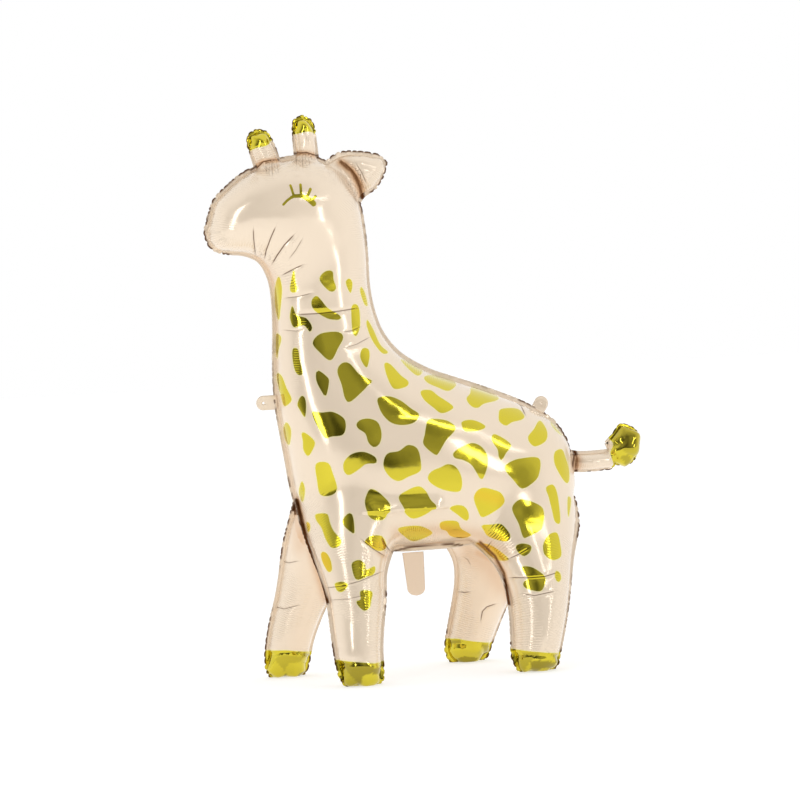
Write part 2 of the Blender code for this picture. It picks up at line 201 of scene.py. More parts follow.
MIDDLE = placing()
LOBES = [("body", BODY, BODY_ENDS, MIDDLE, 0), ("front_horn", FRONT_HORN, FRONT_HORN_ENDS, MIDDLE, 0),
         ("rear_horn", REAR_HORN, REAR_HORN_ENDS, MIDDLE, 0), ("ear", EAR, EAR_ENDS, MIDDLE, 0),
         ("tail", TAIL, TAIL_ENDS, MIDDLE, 0), ("tuft", TUFT, TUFT_ENDS, MIDDLE, 0)]
for side in (-1, 1):
    LOBES.append(("front_leg", FRONT_LEG, FRONT_LEG_ENDS, placing(side, 26.0), side))
    LOBES.append(("hind_leg", HIND_LEG, HIND_LEG_ENDS, placing(side, 14.0), side))
print("lobes", [lobe[0] for lobe in LOBES])

# %% [markdown]
# ## From chords to a swollen surface
# A real balloon gets its shape from air pressure, which a cloth simulation could imitate, slowly
# and never twice the same. Here the section over each chord is a superellipse instead, and the
# chords are joined by a smooth curve. That is a profile carried along a path.

# %% Surfaces over the chords
def blend(p0, p1, p2, p3, per):
    """Catmull-Rom cubic from p1 to p2 at this many places: its slopes at p1 and p2 are half of
    p2 - p0 and half of p3 - p1."""
    t = (np.arange(per) / per)[None, :, None]
    return 0.5 * (2 * p1 + (p2 - p0) * t + (2 * p0 - 5 * p1 + 4 * p2 - p3) * t ** 2
                  + (3 * p1 - p0 - 3 * p2 + p3) * t ** 3)


def smooth_rows(stations, per):
    """Smooth curve through the stations. Each span blends four neighbours, and the two ends are
    mirrored outwards to have neighbours too."""
    rows = np.array(stations, dtype=float)
    padded = np.vstack([2 * rows[0] - rows[1], rows, 2 * rows[-1] - rows[-2]])
    spans = blend(*(padded[k:k + len(rows) - 1, None] for k in range(4)), per)
    return np.vstack([spans.reshape(-1, rows.shape[1]), rows[-1]])


def signed_power(value, power):
    """The value's size raised to a power, with its sign kept."""
    return np.sign(value) * np.abs(value) ** power


def ring_quads(rings, around, start=0, closed=False):
    """Quads between each ring of points and the next, and from the last to the first if closed."""
    k = np.arange(around)
    n = (k + 1) % around
    here = np.arange(rings if closed else rings - 1)
    this = (start + here * around)[:, None]
    after = (start + (here + 1) % rings * around)[:, None]
    return np.stack([this + k, this + n, after + n, after + k], axis=-1).reshape(-1, 4).tolist()


def swollen(stations, ends, place, fullness, per=8, sides=72):
    """Rings of superellipses. Round each ring, cos(t) runs along the chord and sin(t) runs out of
    the sheet, each raised to 2 / fullness; two poles close the row. Returns points and faces."""
    rows = smooth_rows(stations, per)
    middle, reach = (rows[:, 0:2] + rows[:, 2:4]) / 2, (rows[:, 2:4] - rows[:, 0:2]) / 2
    t = np.linspace(0, 2 * np.pi, sides, endpoint=False)
    power = 2 / np.where(np.cos(t) < 0, fullness[0], fullness[1])
    along = middle[:, None] + reach[:, None] * signed_power(np.cos(t), power)[None, :, None]
    out = rows[:, 4, None] * signed_power(np.sin(t), power)[None]
    rings = np.stack([along[..., 0], out, along[..., 1]], axis=-1).reshape(-1, 3)
    poles = np.array([(x, 0.0, z) for x, z in ends])
    k = np.arange(sides)
    n = (k + 1) % sides
    last = (len(rows) - 1) * sides
    pole_a, pole_b = len(rings), len(rings) + 1
    caps = np.vstack([np.stack([np.full(sides, pole_a), n, k], axis=-1),
                      np.stack([np.full(sides, pole_b), last + k, last + n], axis=-1)])
    return place(np.vstack([rings, poles])), ring_quads(len(rows), sides) + caps.tolist()


def mesh_object(name, points, faces):
    """A new object from an array of points and a list of faces, linked to the scene."""
    mesh = bpy.data.meshes.new(name)
    mesh.from_pydata(points.tolist(), [], faces)
    mesh.update()
    made = bpy.data.objects.new(name, mesh)
    bpy.context.scene.collection.objects.link(made)
    return made


def points_of(mesh):
    """All vertex positions of a mesh as one array."""
    flat = np.empty(len(mesh.vertices) * 3)
    mesh.vertices.foreach_get("co", flat)
    return flat.reshape(-1, 3)


def normals_of(mesh):
    """All vertex normals of a mesh as one array."""
    flat = np.empty(len(mesh.vertices) * 3)
    mesh.vertices.foreach_get("normal", flat)
    return flat.reshape(-1, 3)


all_points, all_faces = [], []
for name, stations, ends, place, side in LOBES:
    points, faces = swollen(stations, ends, place, (2.7, 1.95) if name == "body" else (2.0, 2.0))
    start = sum(len(block) for block in all_points)
    all_points.append(points - np.array([0, 0, SKIN_DROP]))
    all_faces += [[start + corner for corner in face] for face in faces]
skin = mesh_object("foil_skin", np.vstack(all_points), all_faces)
print("lofted faces", len(all_faces))

# %% [markdown]
# ## One skin
# The lobes still pass through each other. A voxel remesh keeps only what the air would touch from
# outside and gives even faces over the whole balloon, and a little smoothing rounds the joins as
# the taut foil does.

# %% Merge the lobes
VOXEL = 0.0040
merge = skin.modifiers.new("one skin", "REMESH")
merge.mode = "VOXEL"
merge.voxel_size = VOXEL
merge.use_smooth_shade = True
even = skin.modifiers.new("taut joins", "SMOOTH")
even.factor = 0.5
even.iterations = 9
evaluated = skin.evaluated_get(bpy.context.evaluated_depsgraph_get())
merged = bpy.data.meshes.new_from_object(evaluated)
skin.modifiers.clear()
skin.data = merged
print("skin faces", len(merged.polygons), "points", len(merged.vertices))

# %% [markdown]
# ## The seams
# The weld follows the outline of every lobe. A stretch that would lie inside the balloon, such as
# the root of a horn, isn't there on the real one, so it is dropped. What is left becomes a list
# of runs, each with its points, its outward direction in the sheet and its length so far.

# %% Runs of seam
# An outline starts at its end inside the balloon, so that the drop falls on its start: that is
# the near end of every lobe but the body, whose far end lies between the legs.
SEAM_STEP, SEAM_DEPTH, SEAM_REACH = 2.5, 0.004, 0.011


def closed_outline(stations, ends):
    """Front edge down, far end, back edge up, near end: the outline of a row of chords."""
    rows = smooth_rows(stations, 8)
    return np.vstack([[ends[0]], rows[:, 0:2], [ends[1]], rows[::-1, 2:4], [ends[0]]])


def even_steps(path, step):
    """Points at equal distances along a path."""
    length = np.concatenate([[0], np.cumsum(np.linalg.norm(np.diff(path, axis=0), axis=1))])
    at = np.linspace(0, length[-1], max(4, int(length[-1] / step)) + 1)
    return np.stack([np.interp(at, length, path[:, k]) for k in (0, 1)], axis=-1)


def nearest(points, targets, chunk=4000):
    """For each point the index of the nearest target, from |p|2 - 2 p.t + |t|2, in blocks."""
    found = np.empty(len(points), dtype=int)
    square = (targets ** 2).sum(axis=1)
    for k in range(0, len(points), chunk):
        found[k:k + chunk] = (square[None] - 2 * points[k:k + chunk] @ targets.T).argmin(axis=1)
    return found


def in_space(line, place):
    """A line drawn in the sheet, as points in space."""
    return place(np.column_stack([line[:, 0], np.zeros(len(line)), line[:, 1]]))


skin_points = points_of(merged)
skin_normals = normals_of(merged)

RUNS = []
paths = []
for name, stations, ends, place, side in LOBES:
    inner_first = -1 if name == "body" else 1
    paths.append((name, closed_outline(stations[::inner_first], ends[::inner_first]), place, side))
for side in (-1, 1):
    paths.append(("belly", np.array(BELLY_LINE, dtype=float), placing(side), side))
for name, path, place, side in paths:
    line = even_steps(path, SEAM_STEP)
    ahead = np.gradient(line, axis=0)
    ahead /= np.linalg.norm(ahead, axis=1)[:, None]
    outward = np.stack([ahead[:, 1], -ahead[:, 0]], axis=-1)
    centre = line.mean(axis=0)
    if name != "belly" and ((line - centre) * outward).sum() < 0:
        outward = -outward
    if name == "belly":
        outward = np.tile([0.0, -1.0], (len(line), 1))
    placed = in_space(line, place)
    close = nearest(placed, skin_points)
    height = ((placed - skin_points[close]) * skin_normals[close]).sum(axis=1)
    near = np.linalg.norm(placed - skin_points[close], axis=1)
    keep = (height > -SEAM_DEPTH) & (near < SEAM_REACH)
    if name == "body":
        keep &= line[:, 1] > APEX - 4
    elif side and name != "belly":
        keep &= line[:, 1] < APEX + 2
    breaks = np.flatnonzero(np.diff(np.concatenate([[False], keep, [False]]).astype(int)))
    for start, stop in zip(breaks[::2], breaks[1::2]):
        if stop - start >= 6:
            RUNS.append({"name": name, "line": line[start:stop], "out": outward[start:stop],
                         "place": place, "side": side})
print("seam runs", [(run["name"], len(run["line"])) for run in RUNS])

# %% [markdown]
# ## Puckers
# Where a curved edge is welded, the flat foil has more length than it needs, and the surplus
# gathers in small pillows that fade inwards. Long pillows are few and shallow, short ones many.
# Three sets of random creases along the seam give that. A hollow stretch of edge, such as the
# back of the neck, pulls the foil tight instead and stays nearly smooth.

# %% Random creases along the seams
rng = np.random.default_rng(11)


def bend_of(run):
    """Turning of the outline per millimetre, averaged over 40 mm: the change of the direction
    ahead, taken against the outward direction, so that it is positive where the edge is convex."""
    ahead = np.gradient(run["line"], axis=0)
    ahead /= np.linalg.norm(ahead, axis=1)[:, None]
    bend = -(np.gradient(ahead, axis=0) / SEAM_STEP * run["out"]).sum(axis=1)
    width = 16
    padded = np.pad(bend, width, mode="edge")
    return np.convolve(padded, np.ones(width) / width, mode="same")[width:-width]


seam = {"at": [], "tangent": [], "length": [], "strength": []}
LAYERS = [(0.042, 0.070, 0.0011), (0.021, 0.038, 0.0009), (0.0105, 0.019, 0.0007)]
creases = [[] for layer in LAYERS]
for number, run in enumerate(RUNS):
    placed = in_space(run["line"], run["place"])
    step = np.linalg.norm(np.diff(placed, axis=0), axis=1)
    run["length"] = np.concatenate([[0], np.cumsum(step)]) + 10.0 * number
    tangent = np.gradient(placed, axis=0)
    tangent /= np.linalg.norm(tangent, axis=1)[:, None]
    run["strength"] = np.clip((0.30 if run["side"] else 0.18) + 70 * bend_of(run), 0.05, 1.0)
    if run["name"] == "belly":
        run["strength"] = np.full(len(run["length"]), 0.08)
    seam["at"].append(placed)
    seam["tangent"].append(tangent)
    seam["length"].append(run["length"])
    seam["strength"].append(run["strength"])
    for layer, (spacing, reach, depth) in enumerate(LAYERS):
        count = int((run["length"][-1] - run["length"][0]) / spacing) + 4
        steps = spacing * rng.uniform(0.55, 1.45, count)
        creases[layer].append(run["length"][0] - spacing + np.cumsum(steps))
seam = {key: np.concatenate(value) for key, value in seam.items()}
creases = [np.sort(np.concatenate(layer)) for layer in creases]
print("seam samples", len(seam["length"]), "creases", [len(layer) for layer in creases])

# %% Distance of the skin to the seams
close = nearest(skin_points, seam["at"])
offset = skin_points - seam["at"][close]
along = (offset * seam["tangent"][close]).sum(axis=1)
seam_length = seam["length"][close] + along
seam_distance = np.linalg.norm(offset - along[:, None] * seam["tangent"][close], axis=1)
seam_strength = seam["strength"][close]
print("farthest point from a seam", round(float(seam_distance.max()) * 1000), "mm")

edge_ends = np.empty(len(merged.edges) * 2, dtype=np.int64)
merged.edges.foreach_get("vertices", edge_ends)
edge_ends = edge_ends.reshape(-1, 2)
jumps = edge_ends[np.abs(np.diff(seam_length[edge_ends], axis=1)[:, 0]) > 0.012]
ordered = np.ones(len(skin_points))
ordered[jumps.ravel()] = 0.0
print("points between two runs", int((ordered == 0).sum()))

# %% [markdown]
# ## Legs that grow out of the trunk
# Foil can't hold a step where a leg meets the trunk: the pressure draws it into one flowing
# surface. Points round the tops of the legs are moved to the mean of their neighbours, over and
# over, and the seams keep their place.

# %% Relax the shoulders and thighs
def relaxed(points, ends, weight, rounds):
    """Each point moves by its weight towards the mean of its neighbours, once in each round. The
    sums over the edges are counted, not looped."""
    here = np.concatenate([ends[:, 0], ends[:, 1]])
    there = np.concatenate([ends[:, 1], ends[:, 0]])
    count = np.bincount(here, minlength=len(points)).astype(float)
    moved = points.copy()
    for _ in range(rounds):
        for axis in range(3):
            mean = np.bincount(here, moved[there, axis], minlength=len(points)) / count
            moved[:, axis] += weight * (mean - moved[:, axis])
    return moved


def smooth_step(value, low, high):
    """0 below low, 1 above high, and 3 s^2 - 2 s^3 between."""
    share = np.clip((value - low) / (high - low), 0, 1)
    return share * share * (3 - 2 * share)


JOIN_HEIGHT, JOIN_REACH, ROUNDS = 0.285, 0.085, 150
join = np.exp(-((skin_points[:, 2] - JOIN_HEIGHT) / JOIN_REACH) ** 2)
join *= smooth_step(np.abs(skin_points[:, 1]), 0.04, 0.08)
join *= np.clip(seam_distance / 0.03, 0, 1)
skin_points = relaxed(skin_points, edge_ends, 0.9 * join, ROUNDS)
merged.vertices.foreach_set("co", skin_points.ravel())
merged.update()
skin_normals = normals_of(merged)
print("points relaxed", int((join > 0.05).sum()))

# %% Pillows between the creases
def between(marks, length):
    """The index of the last crease before each length, and the share of the way to the next."""
    index = np.clip(np.searchsorted(marks, length) - 1, 0, len(marks) - 2)
    return index, np.clip((length - marks[index]) / (marks[index + 1] - marks[index]), 0, 1)


def pillows(length, distance, strength):
    """Sum over the layers of depth * |sin(pi * place between two creases)| ** 0.7, faded out with
    a smooth step over the pillow's own reach, less the layer's mean so that the size stays."""
    total = np.zeros(len(length))
    for layer, (spacing, reach, depth) in enumerate(LAYERS):
        index, share = between(creases[layer], length)
        chance = np.random.default_rng(5 + layer).uniform(0.35, 1.25, len(creases[layer]))
        fade = 1 - smooth_step(distance / (reach * chance[index]), 0, 1)
        mean = 1 - smooth_step(distance / reach, 0, 1)
        wave = np.abs(np.sin(np.pi * share)) ** 0.7
        total += depth * (wave * fade * chance[index] - 0.6 * mean) * strength
    return total


lift = pillows(seam_length, seam_distance, seam_strength)
print("pillows from", round(lift.min() * 1000, 2), "to", round(lift.max() * 1000, 2), "mm")

# %% [markdown]
# ## Sharp creases
# Single long creases cross the throat, the neck, the thighs and the knees, and short ones pinch
# the roots of horns, ear and tail. Each is a line read off the picture with its width in pixels
# and its depth. The far side of the body is given the mirror image, and the two far legs have
# lines of their own, because the picture shows their inner faces. Softer lines of the same kind
# hold the painted amber shade where foil faces foil, one broad low fold across the trunk above the
# front legs, and a painted orange reflection of those folds on the spots near the legs.

# %% Lines of the creases
SHARP = [
    (1.0, 0.9, [(253.3, 227.9), (253.7, 239), (255.4, 256)]),
    (1.0, 1.0, [(275.8, 226.5), (270.9, 237.7), (266, 251), (264.2, 259.5)]),
    (1.1, 1.0, [(294.7, 234.2), (284.2, 245.4), (277.2, 255.3), (271.6, 264.4)]),
    (1.0, 0.9, [(303.9, 264.4), (293.3, 269.3), (281.4, 275.6)]),
    (0.9, 0.6, [(303, 238), (296, 250), (289, 259)]),
    (0.9, 0.7, [(285, 298), (299, 296.5), (312, 293)]),
    (1.0, 0.9, [(298, 314.5), (318, 313.5), (340, 311), (358, 308)]),
    (0.9, 0.7, [(343, 332), (352, 330.5), (360, 327)]),
    (0.9, 0.6, [(345, 348), (357, 344), (370, 337)]),
    (0.9, 0.5, [(283, 330), (296, 331), (305, 329)]),
    (1.0, 0.8, [(361, 539), (372, 548), (385, 556)]),
    (1.0, 0.9, [(381.7, 536), (386, 545), (391, 552)]),
    (0.9, 0.7, [(325.6, 588), (342, 586), (360, 581), (382, 571.6)]),
    (0.9, 0.5, [(330, 600), (348, 599), (365, 595)]),
    (1.0, 0.9, [(491.4, 541.3), (488, 546), (484.4, 549.6)]),
    (0.9, 0.9, [(508, 559.1), (518, 554.5), (529.7, 547.7)]),
    (0.9, 0.9, [(509.3, 577.6), (530, 577.6), (545, 576.4), (559, 571.9)]),
    (0.9, 0.8, [(522, 593.6), (534.8, 595.5), (555.2, 591)]),
    (1.0, 0.9, [(520, 403), (523.5, 410), (526, 416)]),
    (1.0, 0.6, [(391, 551), (399, 556)]),
    (1.2, 1.0, [(249.3, 171.6), (257.4, 166.7), (263, 161.8), (270, 160.3), (277.5, 159.5)]),
    (0.9, 0.5, [(265.5, 163), (266.5, 174)]),
    (0.9, 0.5, [(271.5, 162.5), (272.5, 177)]),
    (0.9, 0.4, [(276.5, 162), (278.5, 173)]),
    (1.2, 1.0, [(291.5, 152.5), (300, 153), (306.8, 152.4), (313.9, 154.7), (320.9, 155.4)]),
    (0.9, 0.5, [(296, 155.5), (296.5, 166)]),
    (0.9, 0.5, [(302, 155.5), (303, 169)]),
    (0.9, 0.4, [(308, 156), (310, 167)]),
    (2.2, 1.0, [(338.4, 159), (344.7, 164), (351, 169.5), (356, 177), (359, 185.6),
                (361.6, 192), (361, 198)]),
    (1.0, 0.7, [(356, 163), (362, 173), (366.5, 184)]),
    (1.8, 1.0, [(572.2, 448), (574.3, 455), (573.4, 463), (573, 470.2)]),
]
SHARP_FAR_LEGS = [
    (0.9, 0.5, [(463, 556.6), (467.7, 560), (471, 566)]),
    (1.0, 0.8, [(457, 591.7), (464, 592.5), (471, 591.7)]),
    (1.0, 0.9, [(496.5, 603.8), (487, 607), (482.5, 611.4), (480.6, 621.6)]),
    (0.9, 0.7, [(278, 560), (288, 563), (299, 561)]),
    (0.9, 0.7, [(272, 606), (284, 609), (300, 605)]),
]
# Painted shade: amber where foil faces foil, brown where it is deepest.
SHADED = [
    (3.4, 0.95, [(297, 500), (306, 540), (317, 575), (327, 602)]),
    (1.8, 0.75, [(392, 552), (404, 548.5), (420, 546), (440, 544), (462, 545)]),
    (7.0, 0.32, [(397, 533), (440, 530), (480, 535), (503, 551)]),
    (4.0, 0.35, [(478, 545), (492, 551), (506, 560)]),
    (3.0, 0.85, [(480, 542), (495, 556), (504, 573), (509, 604)]),
    (4.0, 0.80, [(573, 447), (577, 458), (576, 470)]),
    (2.6, 0.72, [(251, 170), (262, 162), (278, 160)]),
    (2.6, 0.72, [(292, 153.5), (307, 153.5), (321, 156.5)]),
    (4.5, 0.85, [(341, 162), (352, 171.5), (360, 187), (362.5, 197)]),
    (5.0, 0.25, [(256, 258), (268, 268), (275, 282)]),
    (3.0, 0.30, [(379, 553), (386, 557), (396, 554)]),
]
SHADED_FAR_LEGS = [
    (5.0, 0.52, [(478, 553), (495.3, 561.7), (505, 578), (509.3, 603.8)]),
    (12.0, 0.30, [(466, 553), (490, 566), (503, 585)]),
    (4.5, 0.52, [(299, 512), (313, 556), (327, 602)]),
    (9.0, 0.25, [(294, 510), (300, 545)]),
]
RIDGES = [(10.5, 0.0095, [(376, 514), (396, 512), (420, 510), (436, 510)])]
# Painted orange reflection of the amber folds on the spots near the legs.
ORANGE_REFLECTION_LINES = [(10.0, 0.70, [(440, 531), (506, 547)]), (7.0, 0.55, [(308, 522), (327, 566)]),
        (7.0, 0.4, [(478, 494), (500, 500)]), (8.0, 0.5, [(366, 545), (388, 545)])]


def to_segment(points, start, end):
    """Share of the way along a segment and signed distance to it, positive on its right."""
    edge, offset = end - start, points - start
    share = np.clip(offset @ edge / (edge @ edge), 0, 1)
    away = np.linalg.norm(offset - share[:, None] * edge, axis=1)
    return share, np.where(edge[0] * offset[:, 1] - edge[1] * offset[:, 0] < 0, -away, away)


def nearest_crease(picture, lines):
    """For each point, the signed distance to the nearest crease as a share of that crease's width,
    and the crease's depth there, which tapers over its last five pixels and fades beside it."""
    across, least, depth_here = np.full(len(picture), 9.0), np.full(len(picture), 9.0), np.zeros(len(picture))
    for width, depth, corners in lines:
        line = np.array(corners, dtype=float)
        steps = np.linalg.norm(np.diff(line, axis=0), axis=1)
        before = np.concatenate([[0], np.cumsum(steps)])
        for k in range(len(line) - 1):
            share, away = to_segment(picture, line[k], line[k + 1])
            won = np.abs(away) < least
            run = before[k] + share[won] * steps[k]
            taper = np.clip(np.minimum(run, before[-1] - run) / 5.0 + 0.15, 0, 1)
            least[won] = np.abs(away[won])
            across[won] = away[won] / width
            depth_here[won] = depth * taper * np.clip(2.2 - np.abs(away[won]) / 2.5, 0, 1)
    return across, depth_here


def shading(picture, lines):
    """Largest of depth * exp(-(distance / width) ** 2) over soft lines."""
    found = np.zeros(len(picture))
    for width, depth, corners in lines:
        line = np.array(corners, dtype=float)
        for start, end in zip(line[:-1], line[1:]):
            found = np.maximum(found, depth * np.exp(-(to_segment(picture, start, end)[1] / width) ** 2))
    return found


LEG_TOP, FAR_SIDE = 0.30, 0.02


def inner_face(points):
    """True on the faces of the legs that look towards the other leg."""
    return (points[:, 2] < LEG_TOP) & (np.abs(points[:, 1]) / UNIT < sheet_offset(points[:, 2] / UNIT))


def on_picture(points):
    """Picture coordinates with the far side of the body mirrored to the near one, and a mask of
    the far legs' inner faces together with their coordinates as they are seen."""
    mirrored = points.copy()
    mirrored[:, 1] = -np.abs(mirrored[:, 1])
    far_leg = (points[:, 1] > FAR_SIDE) & inner_face(points)
    return picture_of(mirrored), far_leg, picture_of(points[far_leg])


INNER_SHADE, FAR_SHADE, FAR_SHADE_TOP = 0.55, 0.1, 0.32


def shade_of(points):
    """Amber shading at any points, weaker on the legs' inner faces and nearly none on the outer
    faces of the far legs, whose seams stand elsewhere than their mirror images."""
    near, far_leg, as_seen = on_picture(points)
    found = shading(near, SHADED) * np.where(inner_face(points), INNER_SHADE, 1.0)
    found[(points[:, 1] > FAR_SIDE) & (points[:, 2] < FAR_SHADE_TOP)] *= FAR_SHADE
    found[far_leg] = shading(as_seen, SHADED_FAR_LEGS)
    return found


picture, far_leg, as_seen = on_picture(skin_points)
crease_across, crease_depth = nearest_crease(picture, SHARP)
crease_across[far_leg], crease_depth[far_leg] = nearest_crease(as_seen, SHARP_FAR_LEGS)
shade = shade_of(skin_points)
# Painted orange reflection on the spots near the legs.
painted_orange_reflection = shading(picture, ORANGE_REFLECTION_LINES)
ridge = shading(picture, RIDGES) * (skin_points[:, 2] > LEG_TOP)
VALLEY_DEPTH, VALLEY_REACH = 0.0012, 2.0
valley = VALLEY_DEPTH * crease_depth * np.exp(-(crease_across / VALLEY_REACH) ** 2)
print("points in a crease", int((crease_depth > 0.1).sum()))

# %% [markdown]
# ## Crumpled ends
# Hooves, horn tips and tuft are small, so the flat foil can't swell into a smooth form there and
# breaks into flat facets with straight folds. Triangle waves in a few directions, added up, give
# such facets: their sum is a flat slope between the folds. The ear has the same, only fainter.
# Each facet of a hoof or the tuft mirrors another part of the room, so each gets a painted
# reflection: the gold is darkened towards olive by a random amount of its own.

# %% Gold ends and their facets
FAR, UNITS_PER_PIXEL = 9.0, 1.8


def gold_ends(points):
    """Distance in pixels to the gold of hooves, horn tips and tuft: negative on the gold."""
    x, y, z = (points - PATTERN_SHIFT).T / UNIT
    hind = x > 20
    front_share = np.where(hind, (x - 128) / 84, (x + 208) / 76)
    hoof_top = np.where(hind, 46 - 15 * np.clip(front_share, 0, 1) ** 0.7,
                        51 - 11 * np.clip(front_share, 0, 1))
    hoof = (z - hoof_top) / UNITS_PER_PIXEL
    front_horn_line = 957 + 0.42 * (x + 250) + 2 * np.cos((x + 250) / 6.5)
    rear_horn_line = 984 + 1.5 * np.cos((x + 152) / 6.0)
    horn_line = np.where(x < -190, front_horn_line, rear_horn_line)
    horn = np.where((x < -120) & (z > 900), (horn_line - z) / UNITS_PER_PIXEL, FAR)
    tuft_line = 399 + 3.0 * np.cos((z - 392) / 7.0)
    tuft = np.where(x > 380, (tuft_line - x) / UNITS_PER_PIXEL, FAR)
    return np.clip(np.minimum(np.minimum(hoof, horn), tuft), -FAR, FAR)


HOOF_RELIEF, TUFT_RELIEF, TIP_RELIEF, HORN_RELIEF, EAR_RELIEF = 0.0027, 0.0030, 0.0012, 0.0005, 0.0014
HOOF_FOLDS = [(21.0, 3.0, 9.0), (-8.0, 5.0, 23.0)]
TUFT_FOLDS = [(17.0, 0.0, 15.0), (-9.0, 4.0, 23.0)]
HORN_FOLDS = [(26.0, 6.0, 28.0), (-30.0, 6.0, 12.0)]
EAR_FOLDS = [(14.0, 5.0, 19.0), (-19.0, 5.0, 10.0)]


def fold_phase(points, k):
    """p . k with a slow wave added, so that no two folds are alike."""
    return points @ np.array(k) + 0.24 * np.sin(points @ np.array([61.0, 9.0, 83.0]) + k[0])


def facets(points, folds, depth):
    """Sum of depth * (1 - 4 |frac(phase) - 1/2|) over the directions k, in folds to a metre."""
    total = np.zeros(len(points))
    for k in folds:
        phase = fold_phase(points, k)
        total += depth * (1 - 4 * np.abs(phase - np.floor(phase) - 0.5))
    return total


def facet_random(points, folds):
    """A random number from 0 to 1 for each facet, from the half waves that cross there."""
    mark = np.zeros(len(points))
    for number, k in enumerate(folds):
        mark += np.floor(2 * fold_phase(points, k)) * (12.9898 + 65.27 * number)
    value = np.sin(mark) * 43758.5453
    return value - np.floor(value)


ends_edge = gold_ends(skin_points)
on_ends = smooth_step(-ends_edge, -0.5, 3.0)
on_hooves = on_ends * (skin_points[:, 2] < 0.1)
pattern_x, pattern_z = (skin_points[:, 0] - PATTERN_SHIFT[0]) / UNIT, skin_points[:, 2] / UNIT
on_ear = smooth_step(pattern_x + 0.6 * (pattern_z - 900), -78, -58) * (pattern_z > 845)
on_horn = (pattern_z > 905) * (pattern_x < -110) * (1 - on_ends)
on_tuft = on_ends * (pattern_x > 380)
crumple = on_hooves * facets(skin_points, HOOF_FOLDS, HOOF_RELIEF)
crumple += on_tuft * facets(skin_points, TUFT_FOLDS, TUFT_RELIEF)
crumple += (on_ends - on_hooves - on_tuft) * facets(skin_points, HORN_FOLDS, TIP_RELIEF)
crumple += on_horn * facets(skin_points, HORN_FOLDS, HORN_RELIEF)
crumple += on_ear * facets(skin_points, EAR_FOLDS, EAR_RELIEF)
# Painted reflection: each facet of hooves and tuft darkens the gold towards olive by its own amount.
facet_painted_reflection = on_hooves * smooth_step(facet_random(skin_points, HOOF_FOLDS), 0.35, 0.75)
facet_painted_reflection += 0.7 * on_tuft * smooth_step(facet_random(skin_points, TUFT_FOLDS), 0.45, 0.8)
seam_strength = seam_strength * (1 - 0.85 * on_ends) * ordered
rib_share = ordered * (1 - on_ends)
lift = lift * (1 - 0.4 * (on_ends - on_hooves))
shaped = skin_points + skin_normals * (lift + ridge - valley + crumple)[:, None]
shaped[:, 2] = np.maximum(shaped[:, 2], 0.0)
merged.vertices.foreach_set("co", shaped.ravel())
merged.update()
print("facets up to", round(float(np.abs(crumple).max()) * 1000, 2), "mm")

# %% [markdown]
# ## The welded rim
# Outside the weld a flat rim about seven millimetres wide is left all round. It is a thin strip
# carried along each run of seam, cockled between the same creases as the skin beside it. Painted
# shade darkens it towards its free edge and in dashes over the cockles.

# %% Strips along the runs
RIM_WIDTH, RIM_ROOT, RIM_HALF = 7.0, 5.0, 0.35
ACROSS = np.array([-1.0, 0.0, 0.35, 0.7, 1.0])
RIM_SHARE = {"front_horn": 0.7, "rear_horn": 0.7, "tuft": 0.45, "tail": 0.7}


def rim_strip(run):
    """Grid of points: one parameter runs along the seam, the other across the strip from its
    root inside the skin to its free edge. Top and bottom are the same grid, half a thickness up
    and down. The free edge is drawn in at each crease and the strip waves between them. The
    second result is painted shade: darker towards the free edge and in dashes over the cockles."""
    length, strength = run["length"], run["strength"]
    index, share = between(creases[2], length)
    notch = (1 - np.sin(np.pi * share)) ** 2 * strength
    width = (RIM_WIDTH - 3.2 * notch) * RIM_SHARE.get(run["name"], 1.0)
    wave = np.where(index % 2 == 0, 1.0, -1.0) * np.sin(np.pi * share) * 1.1 * strength
    reach = np.where(ACROSS[None] < 0, RIM_ROOT * ACROSS[None], width[:, None] * ACROSS[None])
    sway = wave[:, None] * np.clip(ACROSS[None], 0, 1) ** 1.3
    x = run["line"][:, 0, None] + run["out"][:, 0, None] * reach
    z = run["line"][:, 1, None] + run["out"][:, 1, None] * reach
    top = np.stack([x, sway + RIM_HALF, z], axis=-1)
    bottom = np.stack([x, sway - RIM_HALF, z], axis=-1)
    ring = run["place"](np.concatenate([top, bottom[:, ::-1]], axis=1))
    ring[..., 2] = np.maximum(ring[..., 2], 0.0006)
    chance = np.random.default_rng(21).uniform(0, 1, len(creases[2]))[index]
    # Painted shade on the rim: darker towards the free edge and in dashes over the cockles.
    cockle_shade = (chance < 0.66) * np.clip(3.0 * strength - 0.45, 0, 1) * np.clip(2.6 * np.sin(np.pi * share), 0, 1)
    strip_painted_shade = np.clip(0.16 + cockle_shade, 0, 1)[:, None] * np.clip(ACROSS * 2.6 - 0.9, 0, 1)[None]
    return ring, np.concatenate([strip_painted_shade, strip_painted_shade[:, ::-1]], axis=1)


def tube_faces(rings, around, start):
    """Quads between neighbouring rings and one flat face at each end."""
    k = np.arange(around)
    ends = [(start + k[::-1]).tolist(), (start + (rings - 1) * around + k).tolist()]
    return ring_quads(rings, around, start) + ends


rim_points, rim_faces, rim_painted_shade = [], [], []
for run in RUNS:
    ring, strip_painted_shade = rim_strip(run)
    start = sum(len(block) for block in rim_points)
    rim_faces += tube_faces(len(ring), ring.shape[1], start)
    rim_points.append(ring.reshape(-1, 3))
    rim_painted_shade.append(strip_painted_shade.ravel())
rim = mesh_object("welded_rim", np.vstack(rim_points), rim_faces)


def face_outwards(thing):
    """Turn every face of closed shells to the outside."""
    build = bmesh.new()
    build.from_mesh(thing.data)
    bmesh.ops.recalc_face_normals(build, faces=build.faces)
    build.to_mesh(thing.data)
    build.free()


face_outwards(rim)
print("rim faces", len(rim.data.polygons))

# %% [markdown]
# ## Hanging tabs and the valve
# A tab with a punched hole stands out from the chest, and the tip of a second one shows over the
# rump. The valve is a pale plastic strip that hangs from the left belly seam, with a welded
# border and a soft channel down its middle.

